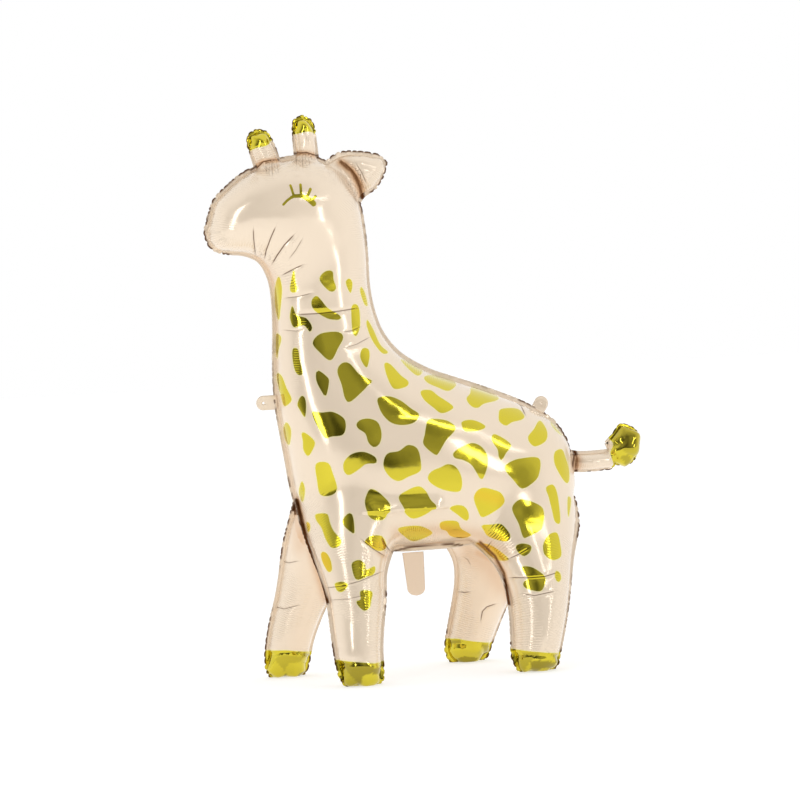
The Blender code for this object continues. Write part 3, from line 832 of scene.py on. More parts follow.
# %% Tabs
def tab(name, place_x, place_z, lean, length, width, hole, thickness=0.0006):
    """Two parameters: the angle round the hole, and the share of the way from the hole's edge to
    the tab's outline, which is a rectangle with a half-round end."""
    around, across = 72, 6
    t = np.linspace(0, 2 * np.pi, around, endpoint=False)
    direction = np.stack([np.cos(t), np.sin(t)], axis=-1)
    half = width / 2
    centre = length - half
    to_side = half / np.maximum(np.abs(direction[:, 1]), 1e-6)
    to_root = centre / np.maximum(-direction[:, 0], 1e-6)
    reach = np.where(direction[:, 0] >= 0, half, np.minimum(to_side, to_root))
    share = np.linspace(0, 1, across)[:, None]
    radius = hole * (1 - share) + reach[None] * share
    flat = direction[None] * radius[..., None] + np.array([centre, 0.0])
    bow = 0.0014 * np.sin(np.pi * flat[..., 0] / length) * (flat[..., 1] / half)
    rim_lift = 0.35 * thickness * (share > 0.8)
    top = np.stack([flat[..., 0], bow - thickness / 2 - rim_lift, flat[..., 1]], axis=-1)
    bottom = np.stack([flat[..., 0], bow + thickness / 2 + rim_lift, flat[..., 1]], axis=-1)
    grid = np.concatenate([top, bottom[::-1]], axis=0)
    faces = ring_quads(len(grid), around, closed=True)
    points = grid.reshape(-1, 3)
    cosine, sine = math.cos(lean), math.sin(lean)
    turned = np.stack([cosine * points[:, 0] - sine * points[:, 2], points[:, 1],
                       sine * points[:, 0] + cosine * points[:, 2]], axis=-1)
    made = mesh_object(name, turned + np.array([place_x, 0.0, place_z]) + PATTERN_SHIFT, faces)
    face_outwards(made)
    return made


TAB_WIDTH = 0.026
chest_tab = tab("chest_tab", -0.2300, 0.505, math.pi, 0.0400, TAB_WIDTH, 0.0022)
back_tab = tab("back_tab", 0.2620, 0.4610, math.radians(57.0), 0.0290, TAB_WIDTH, 0.0002)
print("tabs", len(chest_tab.data.polygons), len(back_tab.data.polygons))

# %% Valve strip
def valve_strip():
    """A closed strip: one parameter runs down its length, the other round its section. The
    section is flat at the borders and a low pillow over the channel; the strip narrows a little
    downwards and ends in a half circle."""
    box_low, box_high = (np.array(corner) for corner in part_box("filling_valve"))
    top, bottom = box_high[2], box_low[2]
    middle_x, middle_y = (box_low[0] + box_high[0]) / 2, (box_low[1] + box_high[1]) / 2
    half_width = (box_high[0] - box_low[0]) / 2
    down = np.linspace(0, 1, 60)
    z = top + (bottom - top) * down
    left = np.clip((z - bottom) / (0.62 * half_width), 0, 1)
    half = half_width * (1 - 0.20 * down) * np.sqrt(1 - (1 - left) ** 2 + 1e-6)
    half[-1] = 0.0004
    across = np.concatenate([np.linspace(-1, 1, 25), np.linspace(1, -1, 25)[1:-1]])
    sign = np.concatenate([np.ones(25), -np.ones(23)])
    border = np.clip((1 - np.abs(across)) / 0.22, 0, 1)
    pillow = 0.00012 + 0.00042 * border * border * (3 - 2 * border)
    close_end = np.clip((z - bottom) / 0.006, 0.15, 1)[:, None]
    x = middle_x + half[:, None] * across[None] + 0.0030 * down[:, None]
    y = middle_y + sign[None] * pillow[None] * close_end - 0.0006 * np.sin(3.0 * down)[:, None]
    grid = np.stack([x, y, np.broadcast_to(z[:, None], x.shape)], axis=-1)
    made = mesh_object("valve_strip", grid.reshape(-1, 3), tube_faces(len(grid), grid.shape[1], 0))
    face_outwards(made)
    return made


valve = valve_strip()
print("valve faces", len(valve.data.polygons))

# %% [markdown]
# ## The print
# The spots are printed, so they have no relief. Each is a closed curve through a few points of
# the picture. For every point of the skin the signed distance to the nearest spot is stored as an
# attribute, and the material draws a crisp edge where it passes through zero. The far side carries
# the same print mirrored. Legs are printed on their outer faces only.

# %% Outlines of the spots on the picture
SPOTS = [
    [(278.7, 276.5), (281.9, 288.3), (280.6, 307.4), (278.7, 320.4), (275.5, 307.4), (274.9, 288.3)],
    [(294, 269.1), (295.3, 280.6), (297.2, 289.5), (294, 292.7), (290.2, 290.2), (291.1, 280.6)],
    [(325.3, 271.4), (332.3, 271.4), (333.5, 279.3), (336.1, 288.3), (331.6, 291.7), (325.3, 287.6),
     (319.5, 278.7)],
    [(349.5, 278.7), (352.4, 283.2), (350.8, 292.7), (347.6, 288.3), (345.9, 281.3)],
    [(361.2, 287), (364.8, 292.7), (367.6, 304.8), (364.5, 304.2), (360.3, 292.1)],
    [(316.3, 295.9), (321.4, 300.4), (327.8, 308), (339.3, 315.1), (339.9, 319.5), (329, 318.9),
     (320.1, 314.4), (313.1, 308.7), (311.5, 301)],
    [(292.7, 306.1), (296.6, 315.1), (306.1, 318.2), (311.9, 326.5), (309.9, 331.6), (303.6, 325.3),
     (294, 327.2), (290.2, 318.9), (290.6, 311.2)],
    [(355.6, 304.2), (359.1, 308.7), (359.9, 326.5), (356.1, 336.1), (352.7, 331.6), (351.4, 316.3),
     (352, 306.1)],
    [(367.6, 320.2), (373.1, 329.1), (380.1, 344.4), (388, 352), (383.3, 353.6), (377.6, 348.2),
     (371.2, 338), (366.7, 325.3)],
    [(326.5, 332.3), (339.3, 332.3), (343.1, 338), (338, 348.2), (332.9, 358.4), (328.4, 359.9),
     (321.4, 354), (312.8, 343.8), (317.6, 335.5)],
    [(276.8, 333.5), (281.3, 338), (278.7, 349.5), (277, 358.4), (276.1, 352), (275.9, 341.8)],
    [(292.7, 349.2), (297.8, 349.2), (299.7, 359.7), (302.6, 372.4), (299.7, 375.3), (295.3, 371.2),
     (292.7, 359.7)],
    [(362.2, 348.9), (368, 348.9), (369.6, 355.9), (367.3, 366.7), (364.2, 365.4), (360.3, 357.1)],
    [(317.6, 370.5), (327.8, 377.6), (328.8, 383.9), (325.9, 396), (322.1, 392.2), (316.3, 380.1)],
    [(341.8, 363.3), (349.5, 363.5), (359.7, 374.4), (371.8, 380.7), (368, 385.2), (362.2, 391.6),
     (350.1, 401.8), (345, 398), (341.8, 385.2), (337.4, 371.2)],
    [(384.6, 363.5), (390.3, 364.2), (400.5, 375), (408.2, 381.4), (406.3, 386.5), (395.4, 389),
     (390.3, 383.9), (385.8, 372.4)],
    [(400.9, 359.4), (410.7, 363.5), (422.2, 370.5), (417.7, 375.6), (408.2, 368.6)],
    [(424.2, 377.4), (430.6, 374.9), (444.6, 375.5), (455.9, 383.8), (448.5, 390.8), (437, 387),
     (427.4, 382.5)],
    [(277.2, 373.3), (281.9, 376.3), (286.4, 387.8), (291.5, 398.6), (288.9, 403.7), (283.8, 405.6),
     (280.6, 394.1), (277.4, 381.4)],
    [(301, 396.3), (304.8, 398), (306.1, 406.9), (304.8, 417.1), (300.4, 410.7), (297.4, 404.3)],
    [(421, 391.1), (430.6, 390.2), (438.3, 395.9), (452.3, 405.5), (451, 409.9), (441.5, 413.1),
     (433.2, 407.4), (423.6, 399.1)],
    [(312.5, 411.4), (321.4, 412.6), (332.9, 412), (343.8, 418.4), (345.7, 427.3), (342.5, 434.9),
     (331.6, 436.5), (325.3, 438.1), (318.9, 428.6), (313.8, 418.4)],
    [(359.7, 420.3), (368.6, 418.6), (377.6, 422.2), (381.4, 432.4), (380.1, 442.6), (374.4, 447.1),
     (368.6, 442.6), (365.4, 433.7), (358.4, 428.6), (356.5, 424.7)],
    [(378.2, 398), (389, 396.3), (400.5, 400.5), (410.7, 408.2), (419, 414.5), (414.5, 422.2),
     (403.1, 425), (391.6, 422.8), (382.7, 414.5), (378.2, 404.3)],
    [(286.4, 422.4), (290.6, 428.6), (290.8, 437.5), (288.9, 445.2), (285.1, 438.8), (283.4, 428.6)],
    [(301.7, 432.7), (307.4, 434.3), (314.8, 442), (312.5, 450), (308, 456), (303.5, 450), (302.9, 441.3)],
    [(428.7, 419.5), (442.1, 419.5), (451, 422.7), (455.5, 429.1), (445.9, 440.6), (438.3, 453.3),
     (434.4, 454.3), (423.6, 444.4), (424.9, 434.2), (426.1, 426.5)],
    [(472.1, 387), (484.2, 389.5), (497.6, 396.6), (496.3, 400.4), (484.2, 403.6), (477.8, 407.7),
     (471.4, 406.1), (466.6, 399.1), (470.2, 393.4)],
    [(500.8, 409.3), (511, 408), (519.9, 409.9), (524.4, 415.7), (521.8, 419.5), (512.2, 422.1),
     (505.9, 425.5), (499.5, 421.4), (498.9, 413.8)],
    [(462.5, 421.4), (471.4, 419.9), (480.4, 422.7), (485.5, 427.2), (476.5, 431), (465.1, 431),
     (461.9, 425.9)],
    [(539, 420.8), (543.5, 424), (547.3, 432.9), (545.4, 441.2), (535.8, 446.3), (530.1, 443.1),
     (528.2, 436.7), (533.9, 429.1)],
    [(551.1, 420.8), (556.3, 421.4), (562.6, 434.8), (556.9, 431.6), (551.8, 425.3)],
    [(491.8, 436.7), (495, 434.2), (505.9, 439.9), (511, 445.7), (505.9, 453.3), (502, 459.7),
     (498.9, 457.1), (497.6, 449.5), (492.5, 441.8)],
    [(453.6, 452.7), (462.5, 446.3), (472.7, 443.1), (481.6, 446.9), (487.4, 455.9), (487.4, 466.1),
     (483.5, 477.6), (480.4, 478.8), (476.5, 472.4), (471.4, 464.8), (463.8, 460.3), (454.8, 457.8)],
    [(408.3, 445), (417.9, 449.5), (421.2, 466), (419, 472), (408.9, 476.5), (399, 481), (390, 477),
     (383.5, 466), (387, 454), (399, 451)],
    [(431.9, 471.2), (440.8, 467.3), (447.8, 464.2), (455.5, 466.7), (461, 475.6), (461.9, 486.5),
     (458, 491.8), (443.4, 489.7), (431.9, 483.9), (427.8, 477.6)],
    [(504.6, 468.6), (509.7, 462.2), (521.2, 458.4), (539, 458.4), (538.8, 475), (531.4, 483.9),
     (521.8, 488.4), (513.5, 480.1)],
    [(555, 452), (562, 449.5), (565.8, 458.4), (569, 469.9), (569, 480.7), (565.8, 482.7),
     (559.4, 473.7), (554.3, 462.2)],
    [(476.5, 491.6), (482.9, 487.8), (493.1, 489.7), (500.8, 492.9), (504.6, 500.5), (500.8, 506.9),
     (489.3, 514.5), (482.3, 517.1), (479.1, 513.3), (474, 499.2)],
    [(449.7, 508.2), (456.1, 505.2), (463.8, 506.3), (468.2, 512), (468.6, 519), (465.1, 520.3),
     (457.4, 514.5)],
    [(398.6, 496.8), (407, 490.5), (418.2, 486.3), (425.3, 490.5), (430.2, 499.6), (435.1, 506),
     (426.7, 513.7), (414, 518.6), (406.3, 514.4), (402, 506)],
    [(370.5, 489.1), (378.2, 491.9), (388.1, 501.8), (388.8, 508.1), (384.6, 518.6), (374.7, 520),
     (367.7, 514.4), (364.9, 502.5), (367, 494)],
    [(512.9, 505.6), (519.9, 499.5), (530.1, 501.1), (541.6, 506.9), (544.1, 515.8), (542.2, 527.3),
     (539, 531.1), (527.6, 536.9), (523.1, 536.9), (518.6, 523.5), (512.9, 512)],
    [(546, 487.8), (552.4, 484.6), (556.3, 490.3), (558.8, 503.1), (560.1, 522.2), (555, 521.6),
     (551.8, 509.4), (548.6, 496.7)],
    [(568, 497), (571, 499), (570, 510), (568.5, 517), (567.5, 508)],
    [(397.9, 529.1), (407, 526.3), (421.1, 526.3), (432.3, 532.6), (423.9, 538.2), (412.6, 541),
     (404.2, 536.1)],
    [(440.2, 522.8), (447.2, 520.7), (457.4, 521.6), (461.2, 528.6), (470.8, 535), (462.5, 538.1),
     (451, 536.2), (446.6, 531.1), (440.8, 528.6)],
    [(481.6, 525.4), (491.8, 524.5), (500.8, 524.1), (507.1, 529.9), (510.3, 536.2), (507.1, 541.3),
     (498.2, 540.1), (488, 536.2), (483.5, 529.9)],
    [(476, 543.5), (484, 543.5), (494, 547), (506, 556), (508, 560), (498, 560), (486, 553)],
    [(516, 546), (523, 543.5), (531, 546), (530, 552), (524, 556), (518, 552)],
    [(545, 540), (550, 534), (557, 533), (560, 543), (561, 556), (553, 560), (545, 555), (543, 547)],
    [(301.8, 481.4), (304.8, 488.4), (303.9, 499.6), (301.5, 501), (298.9, 491.2)],
    [(316, 464), (328, 463), (333, 474), (337, 487), (335, 493), (328, 496), (320, 494), (317, 480)],
    [(344, 462), (352, 454), (364, 452), (375, 457), (376, 463), (366, 464), (358, 470), (349, 475),
     (344, 471)],
    [(315.8, 514.4), (327, 514), (329.8, 522.1), (333.3, 530.5), (341.1, 540.4), (338.2, 546.7),
     (331.2, 547.4), (325.6, 539), (321.4, 527.7), (316.5, 520.7)],
    [(348.8, 513.3), (353, 516.8), (354.4, 532.6), (350.9, 531.9), (344.6, 526.3), (342.7, 520)],
    [(306.2, 522.1), (309.5, 523.5), (310.2, 528.4), (308.5, 532.6), (306.7, 527.7)],
    [(364.9, 541.8), (370.5, 536.1), (381.8, 536.1), (386.7, 544.6), (385.3, 548.8), (378.9, 550.9),
     (370.5, 546.7)],
    [(321.4, 552.3), (326.3, 553), (330.5, 560), (331.9, 569.8), (328.4, 571.9), (324.2, 565.6),
     (321.4, 558.6)],
    [(352.3, 562.8), (359.3, 560), (364.9, 564.2), (366.3, 569.8), (374.7, 566.3), (374, 574),
     (366.3, 576.8), (359.3, 579.6), (355.1, 578.2), (352.3, 569.8)],
    [(334.7, 583.9), (341.1, 581.8), (347.8, 583.9), (345.3, 589.5), (341.1, 592), (336.8, 590.2)],
    [(360.7, 590.9), (371.9, 591.6), (371.2, 600.7), (369.1, 608.4), (363.5, 610.5), (357.2, 604.2),
     (357.2, 600.7), (360.7, 599.3)],
    [(522, 566.8), (531, 567), (540, 572), (545.6, 578.3), (542.4, 589.7), (536, 591), (525, 587.6),
     (523.5, 582.4), (528, 578.3), (524, 573)],
    [(556, 571), (560, 573), (561, 579), (558, 582), (555, 577)],
]

# %% Signed distance to the spots
def rounded(corners):
    """Closed Catmull-Rom curve through the corners, six points to a span."""
    ring = np.array(corners, dtype=float)
    return blend(*(np.roll(ring, 1 - k, axis=0)[:, None] for k in range(4)), 6).reshape(-1, 2)


def polygon_distance(points, ring):
    """Signed distance to a polygon, negative inside: the least distance to its edges, and the
    sign from the number of edges that a ray to the right crosses."""
    a, b = ring[None], np.roll(ring, -1, axis=0)[None]
    p, edge = points[:, None], (b - a)
    h = np.clip(((p - a) * edge).sum(-1) / (edge ** 2).sum(-1), 0, 1)
    least = np.linalg.norm(p - a - edge * h[..., None], axis=-1).min(axis=1)
    spans = (a[..., 1] > p[..., 1]) != (b[..., 1] > p[..., 1])
    rise = np.where(np.abs(edge[..., 1]) < 1e-9, 1e-9, edge[..., 1])
    crossing = a[..., 0] + (p[..., 1] - a[..., 1]) * edge[..., 0] / rise
    inside = (spans & (p[..., 0] < crossing)).sum(axis=1) % 2 == 1
    return np.where(inside, -least, least)


def spot_distance(picture):
    """Least signed distance to any spot, in picture pixels, cut off at FAR."""
    found = np.full(len(picture), FAR)
    for corners in SPOTS:
        ring = rounded(corners)
        low, high = ring.min(axis=0) - FAR, ring.max(axis=0) + FAR
        near = np.flatnonzero(((picture > low) & (picture < high)).all(axis=1))
        if len(near):
            found[near] = np.minimum(found[near], polygon_distance(picture[near], ring))
    return found


spots = spot_distance(picture)
out_of_sheet = np.abs(shaped[:, 1]) / UNIT - sheet_offset(shaped[:, 2] / UNIT)
printed = np.where(shaped[:, 2] / UNIT < APEX - 20, -out_of_sheet / UNITS_PER_PIXEL, -FAR)
print_edge = np.maximum(spots, printed)
print("share of the skin in spots", round(float((print_edge < 0).mean()), 3))

# %% Store the numbers on the meshes
def store(thing, name, values):
    """Write one number for each vertex as a named attribute."""
    layer = thing.data.attributes.new(name, "FLOAT", "POINT")
    layer.data.foreach_set("value", np.asarray(values, dtype=np.float32))


gold_edge = np.minimum(print_edge, ends_edge)
for name, values in (("gold_edge", gold_edge), ("seam_distance", seam_distance),
                     ("seam_length", seam_length), ("seam_strength", seam_strength),
                     ("crease_across", crease_across), ("crease_depth", crease_depth),
                     ("shade", shade), ("rib_share", rib_share), ("facet_painted_reflection", facet_painted_reflection),
                     ("painted_orange_reflection", painted_orange_reflection)):
    store(skin, name, values)
rim_points = points_of(rim.data)
store(rim, "gold_edge", gold_ends(rim_points))
# The rim's painted shade, with the painted amber and brown shade of the joins.
shaded_rim = smooth_step(shade_of(rim_points), 0.45, 0.75)
store(rim, "rim_painted_shade", np.maximum(np.concatenate(rim_painted_shade), shaded_rim))
for thing in (chest_tab, back_tab):
    store(thing, "gold_edge", np.full(len(thing.data.vertices), FAR))
    store(thing, "rim_painted_shade", np.zeros(len(thing.data.vertices)))

# %% [markdown]
# ## The foil's finish
# Cream foil is metallised film with a milky print over it, so it is only half mirror. The spots
# are clear gold ink straight on the metal, a full mirror. One material holds both finishes and
# the stored distance chooses between them, with an edge as crisp as ink.

# %% Node board
class Board:
    """The nodes and links of one node tree, with short ways to add and wire a node."""

    def __init__(self, tree):
        self.nodes, self.links = tree.nodes, tree.links

    def wire(self, value, socket):
        """Link a socket, or write a number, a triple or a colour into it."""
        if isinstance(value, (int, float, tuple)):
            socket.default_value = value
        else:
            self.links.new(value, socket)

    def calc(self, operation, *values, kind="ShaderNodeMath"):
        """One arithmetic node; numbers or sockets go in."""
        node = self.nodes.new(kind)
        node.operation = operation
        for value, socket in zip(values, node.inputs):
            self.wire(value, socket)
        return node.outputs["Value" if operation in ("DOT_PRODUCT", "LENGTH") else 0]

    def vector(self, operation, *values):
        """One vector node."""
        return self.calc(operation, *values, kind="ShaderNodeVectorMath")

    def scaled(self, value, factor, plus=0.0):
        """value * factor + plus."""
        return self.calc("MULTIPLY_ADD", value, factor, plus)

    def spread(self, value, low, high, at_low, at_high, smooth=True):
        """Carries low to at_low and high to at_high, with a smooth step or a straight line."""
        node = self.nodes.new("ShaderNodeMapRange")
        node.interpolation_type = "SMOOTHSTEP" if smooth else "LINEAR"
        for name, put in (("Value", value), ("From Min", low), ("From Max", high),
                          ("To Min", at_low), ("To Max", at_high)):
            self.wire(put, node.inputs[name])
        return node.outputs["Result"]

    def below(self, value, low, high):
        """1 below low, 0 above high, smooth between."""
        return self.spread(value, low, high, 1.0, 0.0)

    def attribute(self, name):
        """The stored number of that name."""
        node = self.nodes.new("ShaderNodeAttribute")
        node.attribute_name = name
        return node.outputs["Fac"]

    def mixed(self, mask, low, high):
        """Colour mix: low where the mask is 0, high where it is 1."""
        node = self.nodes.new("ShaderNodeMix")
        node.data_type = "RGBA"
        colours = [socket for socket in node.inputs if socket.type == "RGBA"]
        self.wire(low, colours[0])
        self.wire(high, colours[1])
        self.wire(mask, node.inputs["Factor"])
        return [socket for socket in node.outputs if socket.type == "RGBA"][0]

    def noise(self, place, scale, detail):
        """A noise value at this scale."""
        node = self.nodes.new("ShaderNodeTexNoise")
        for name, put in (("Vector", place), ("Scale", scale), ("Detail", detail)):
            self.wire(put, node.inputs[name])
        return node.outputs["Fac"]

    def raised(self, height, distance, strength, over=None):
        """A bump from a height, laid over another normal."""
        node = self.nodes.new("ShaderNodeBump")
        for name, put in (("Strength", strength), ("Distance", distance), ("Height", height)):
            self.wire(put, node.inputs[name])
        if over is not None:
            self.wire(over, node.inputs["Normal"])
        return node.outputs["Normal"]


def new_material(name):
    """A new material with only its output and shader, and the board of its nodes."""
    made = bpy.data.materials.new(name)
    made.use_nodes = True
    return made, Board(made.node_tree)


# %% [markdown]
# Eye and lashes are pen strokes. A stroke is everything nearer than half a pen's width to a line
# between two points, seen from the side. One node group measures one stroke, and the material
# uses it once for each piece of the lid and each lash.

# %% Pen stroke group
stroke = bpy.data.node_groups.new("pen stroke", "ShaderNodeTree")
for name, kind in (("Position", "NodeSocketVector"), ("Start", "NodeSocketVector"),
                   ("End", "NodeSocketVector"), ("Half Width", "NodeSocketFloat")):
    stroke.interface.new_socket(name, in_out="INPUT", socket_type=kind)
stroke.interface.new_socket("Mask", in_out="OUTPUT", socket_type="NodeSocketFloat")
pen = Board(stroke)
given = pen.nodes.new("NodeGroupInput").outputs
flat_position = pen.vector("MULTIPLY", given["Position"], (1.0, 0.0, 1.0))
from_start = pen.vector("SUBTRACT", flat_position, given["Start"])
whole = pen.vector("SUBTRACT", given["End"], given["Start"])
share_along = pen.calc("DIVIDE", pen.vector("DOT_PRODUCT", from_start, whole),
                       pen.vector("DOT_PRODUCT", whole, whole))
share_along.node.use_clamp = True
gap = pen.vector("SUBTRACT", from_start, pen.vector("MULTIPLY", whole, share_along))
relative = pen.calc("DIVIDE", pen.vector("LENGTH", gap), given["Half Width"])
pen.wire(pen.below(relative, 0.85, 1.15), pen.nodes.new("NodeGroupOutput").inputs["Mask"])
print("nodes in one pen stroke", len(pen.nodes))

# %% Strokes of the eye
EYE_SIDE, PEN = -0.073, 0.0012
LID = [(283.0, 204.6, 1.7), (286.6, 200.8, 1.8), (291.0, 197.5, 2.0), (294.2, 196.1, 2.5),
       (300.5, 195.8, 3.0), (305.4, 197.5, 3.6), (309.4, 200.0, 4.2), (313.2, 203.5, 4.6)]
LASHES = [((291.4, 185.3), (293.5, 195.5), 1.9), ((301.4, 184.6), (300.9, 196.0), 2.1),
          ((311.0, 189.1), (306.8, 197.0), 2.2), ((315.7, 196.3), (311.0, 201.0), 2.1)]
STROKES = [(a[:2], b[:2], (a[2] + b[2]) / 2) for a, b in zip(LID[:-1], LID[1:])] + LASHES


def eye_mask(board):
    """The largest mask of all strokes of the eye; the width grows along the lid."""
    where = board.nodes.new("ShaderNodeTexCoord").outputs["Object"]
    total = 0.0
    for start, end, breadth in STROKES:
        node = board.nodes.new("ShaderNodeGroup")
        node.node_tree = stroke
        board.wire(where, node.inputs["Position"])
        for socket, spot in (("Start", start), ("End", end)):
            point = side_point(spot[0], spot[1], EYE_SIDE)
            node.inputs[socket].default_value = (point[0], 0.0, point[2])
        node.inputs["Half Width"].default_value = PEN * breadth
        total = board.calc("MAXIMUM", total, node.outputs["Mask"])
    return total


print("strokes of the eye", len(STROKES))

# %% [markdown]
# Three effects lie over the print. Creases are a shallow valley with painted shade in it, a dark
# line. Joins and roots get painted amber shade, turning to painted brown shade where they are
# deepest, as foil that faces foil reflects its own colour again and again. Fine ribs stand square
# to the seams, close to them and in patches.

# %% Creases, joins and ribs
CREAM = (0.93, 0.775, 0.60, 1.0)
GOLD = (0.68, 0.57, 0.030, 1.0)
LEMON = (0.93, 0.86, 0.42, 1.0)
# Olive and orange colour painted reflection, amber and brown painted shade.
REFLECTED_OLIVE = (0.17, 0.12, 0.008, 1.0)
REFLECTED_ORANGE = (0.82, 0.47, 0.02, 1.0)
BROWN_SHADE = (0.100, 0.033, 0.008, 1.0)
AMBER_SHADE = (0.66, 0.30, 0.075, 1.0)
PLEAT_PERIOD, RIB_PERIOD = 0.0055, 0.0042


def crease_lines(board, colour, normal):
    """Painted amber and brown shade at joins, painted dark shade in creases, and a valley bump.
    Returns the line mask, colour and normal.
    """
    across = board.calc("ABSOLUTE", board.attribute("crease_across"))
    depth = board.attribute("crease_depth")
    crease_shade = board.calc("MULTIPLY", board.below(across, 0.15, 0.95), depth)
    valley_height = board.calc("MULTIPLY", board.below(across, 0.0, 2.4), depth)
    shade_value = board.attribute("shade")
    deepest = board.calc("SUBTRACT", 1.0, board.below(shade_value, 0.55, 0.9))
    line = board.calc("MAXIMUM", board.scaled(crease_shade, 0.88), board.scaled(deepest, 0.92))
    colour = board.mixed(line, board.mixed(shade_value, colour, AMBER_SHADE), BROWN_SHADE)
    return line, colour, board.raised(board.scaled(valley_height, -1.0), 0.0014, 0.8, normal)


def ribs_and_pleats(board, place, dents, normal):
    """Sine waves along the seam: pleats close to it, wobbling with the dents, and finer ribs
    farther in, where a broad noise lets them show."""
    length, distance = board.attribute("seam_length"), board.attribute("seam_distance")
    wobble = board.scaled(dents, 5.0, board.scaled(length, 2 * math.pi / PLEAT_PERIOD))
    pleat = board.calc("MULTIPLY", board.calc("SINE", wobble), board.below(distance, 0.001, 0.022))
    pleat = board.calc("MULTIPLY", pleat, board.attribute("seam_strength"))
    normal = board.raised(pleat, 0.0004, 0.5, normal)
    patch = board.noise(place, 9.0, 0.0)
    ribs = board.calc("SINE", board.scaled(length, 2 * math.pi / RIB_PERIOD))
    for share in (board.calc("SUBTRACT", 1.0, board.below(patch, 0.44, 0.56)),
                  board.below(distance, 0.030, 0.085), board.attribute("rib_share")):
        ribs = board.calc("MULTIPLY", ribs, share)
    return board.raised(ribs, 0.00035, 0.8, normal)


# %% Foil material
def foil_material(name, on_skin):
    """Cream print and gold mirror, chosen by gold_edge, with dents all over. The skin has its
    creases, joins and ribs besides, with painted shade in creases and joins and painted
    reflection on the gold; the rim has painted shade in dark dashes."""
    made, board = new_material(name)
    shader = board.nodes["Principled BSDF"]
    edge = board.attribute("gold_edge")
    gold = board.below(edge, -0.25, 0.25)
    halo = board.scaled(board.below(edge, 0.25, 1.4), 0.75)
    gold_and_painted_reflection = GOLD
    if on_skin:
        gold = board.calc("MAXIMUM", gold, eye_mask(board))
        # Painted reflection on the gold: olive on facets, orange near the legs.
        gold_and_painted_reflection = board.mixed(board.scaled(board.attribute("facet_painted_reflection"), 0.6), GOLD, REFLECTED_OLIVE)
        gold_and_painted_reflection = board.mixed(board.attribute("painted_orange_reflection"), gold_and_painted_reflection, REFLECTED_ORANGE)
    colour = board.mixed(gold, board.mixed(halo, CREAM, LEMON), gold_and_painted_reflection)
    place = board.nodes.new("ShaderNodeTexCoord").outputs["Object"]
    dents = board.noise(place, 22.0, 2.0)
    normal = board.raised(dents, 0.0025, 0.22)
    if on_skin:
        line, colour, normal = crease_lines(board, colour, normal)
        normal = ribs_and_pleats(board, place, dents, normal)
    else:
        # Painted shade on the rim, in brown.
        line = board.attribute("rim_painted_shade")
        colour = board.mixed(line, colour, BROWN_SHADE)
    for socket, value in (("Base Color", colour), ("Metallic", board.scaled(gold, 0.80, 0.20)),
                          ("Roughness", board.scaled(gold, -0.08, 0.17)), ("Normal", normal),
                          ("Specular IOR Level", board.scaled(line, -0.48, 0.5)),
                          ("Coat Weight", board.scaled(line, -0.5, 0.5)), ("Coat Roughness", 0.06)):
        board.wire(value, shader.inputs[socket])
    return made


skin.data.materials.clear()
skin.data.materials.append(foil_material("printed_foil", True))
edge_foil = foil_material("edge_foil", False)
for thing in (rim, chest_tab, back_tab):
    thing.data.materials.append(edge_foil)

film, film_board = new_material("valve_film")
for socket, value in (("Base Color", (0.88, 0.69, 0.51, 1.0)), ("Roughness", 0.38), ("Coat Weight", 0.2)):
    film_board.nodes["Principled BSDF"].inputs[socket].default_value = value
valve.data.materials.append(film)
for thing in (skin, rim, chest_tab, back_tab, valve):
    thing.data.polygons.foreach_set("use_smooth", [True] * len(thing.data.polygons))
print("materials", [made.name for made in (skin.data.materials[0], edge_foil, film)])

# %% [markdown]
# ## Joining the frame
# Every piece rides on the one body. The skin stands for the solid envelope and the strip for the
# solid valve.

# %% Ride and replace
for thing in (skin, rim, chest_tab, back_tab, valve):
    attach(thing, "root")
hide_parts("envelope")
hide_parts("filling_valve")

# %% [markdown]
# ## The studio
# Foil shows its surroundings more than itself. The room is white all round and darker only where
# the camera stands, which is why the spots are olive in the middle of a swell and pale yellow at
# its edges. Two upright soft boxes left and right of the camera draw the long white streaks, and
# two high on the right, one of them long and flat, draw the line over the shoulder.

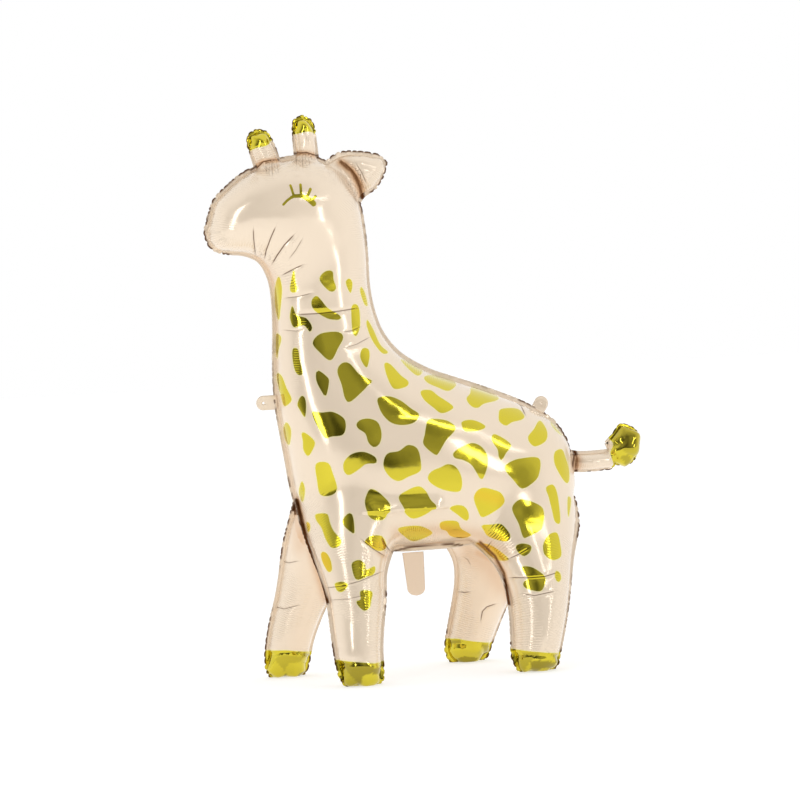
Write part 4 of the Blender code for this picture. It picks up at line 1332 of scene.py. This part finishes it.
# %% Floor, room and lamps
FLOOR_REACH = 45.0
corners = np.array([[-1.0, -1, 0], [1, -1, 0], [1, 1, 0], [-1, 1, 0]]) * FLOOR_REACH
floor = mesh_object("floor", corners, [[0, 1, 2, 3]])
paint, paint_board = new_material("white_floor")
for socket, value in (("Base Color", (0.55, 0.55, 0.55, 1.0)), ("Roughness", 0.9),
                      ("Emission Color", (1.0, 1.0, 1.0, 1.0)), ("Emission Strength", 0.56)):
    paint_board.nodes["Principled BSDF"].inputs[socket].default_value = value
floor.data.materials.append(paint)

world = bpy.data.worlds.new("white_room")
bpy.context.scene.world = world
world.use_nodes = True
room = Board(world.node_tree)
direction = room.nodes.new("ShaderNodeTexCoord").outputs["Generated"]
toward_camera = room.vector("DOT_PRODUCT", direction, tuple(-FORWARD))
unlit = room.spread(room.noise(direction, 2.6, 1.0), 0.38, 0.66, 0.07, 0.45, smooth=False)
background = room.nodes["Background"]
background.inputs["Color"].default_value = (1.0, 1.0, 1.0, 1.0)
room.wire(room.spread(toward_camera, 0.10, 0.85, 1.0, unlit), background.inputs["Strength"])


LAMP_DISTANCE = 3.0


def soft_box(name, turn_degrees, middle, width, height, watts):
    """An area lamp turned this far to the picture's right of the camera's line, with its middle
    at this height, facing the balloon."""
    angle = AZIMUTH - math.radians(turn_degrees)
    place = np.array([-LAMP_DISTANCE * math.sin(angle), -LAMP_DISTANCE * math.cos(angle), middle])
    lamp = bpy.data.lights.new(name, "AREA")
    lamp.shape = "RECTANGLE"
    lamp.size, lamp.size_y, lamp.energy = width, height, watts
    made = bpy.data.objects.new(name, lamp)
    bpy.context.scene.collection.objects.link(made)
    made.location = place
    aim = Vector(np.array([0.0, 0.0, middle]) - place)
    made.rotation_euler = aim.to_track_quat("-Z", "Y").to_euler()
    return made


soft_box("left_box", -25.0, 1.75, 0.42, 2.5, 17.0)
soft_box("right_box", 50.0, 1.00, 0.20, 0.8, 3.2)
soft_box("high_box", 50.0, 2.02, 1.70, 0.15, 3.8)
soft_box("link_box", 40.0, 2.40, 0.14, 0.8, 2.0)
scene_view = bpy.context.scene.view_settings
scene_view.view_transform = "Standard"
scene_view.look = "None"
scene_view.exposure = 0.0
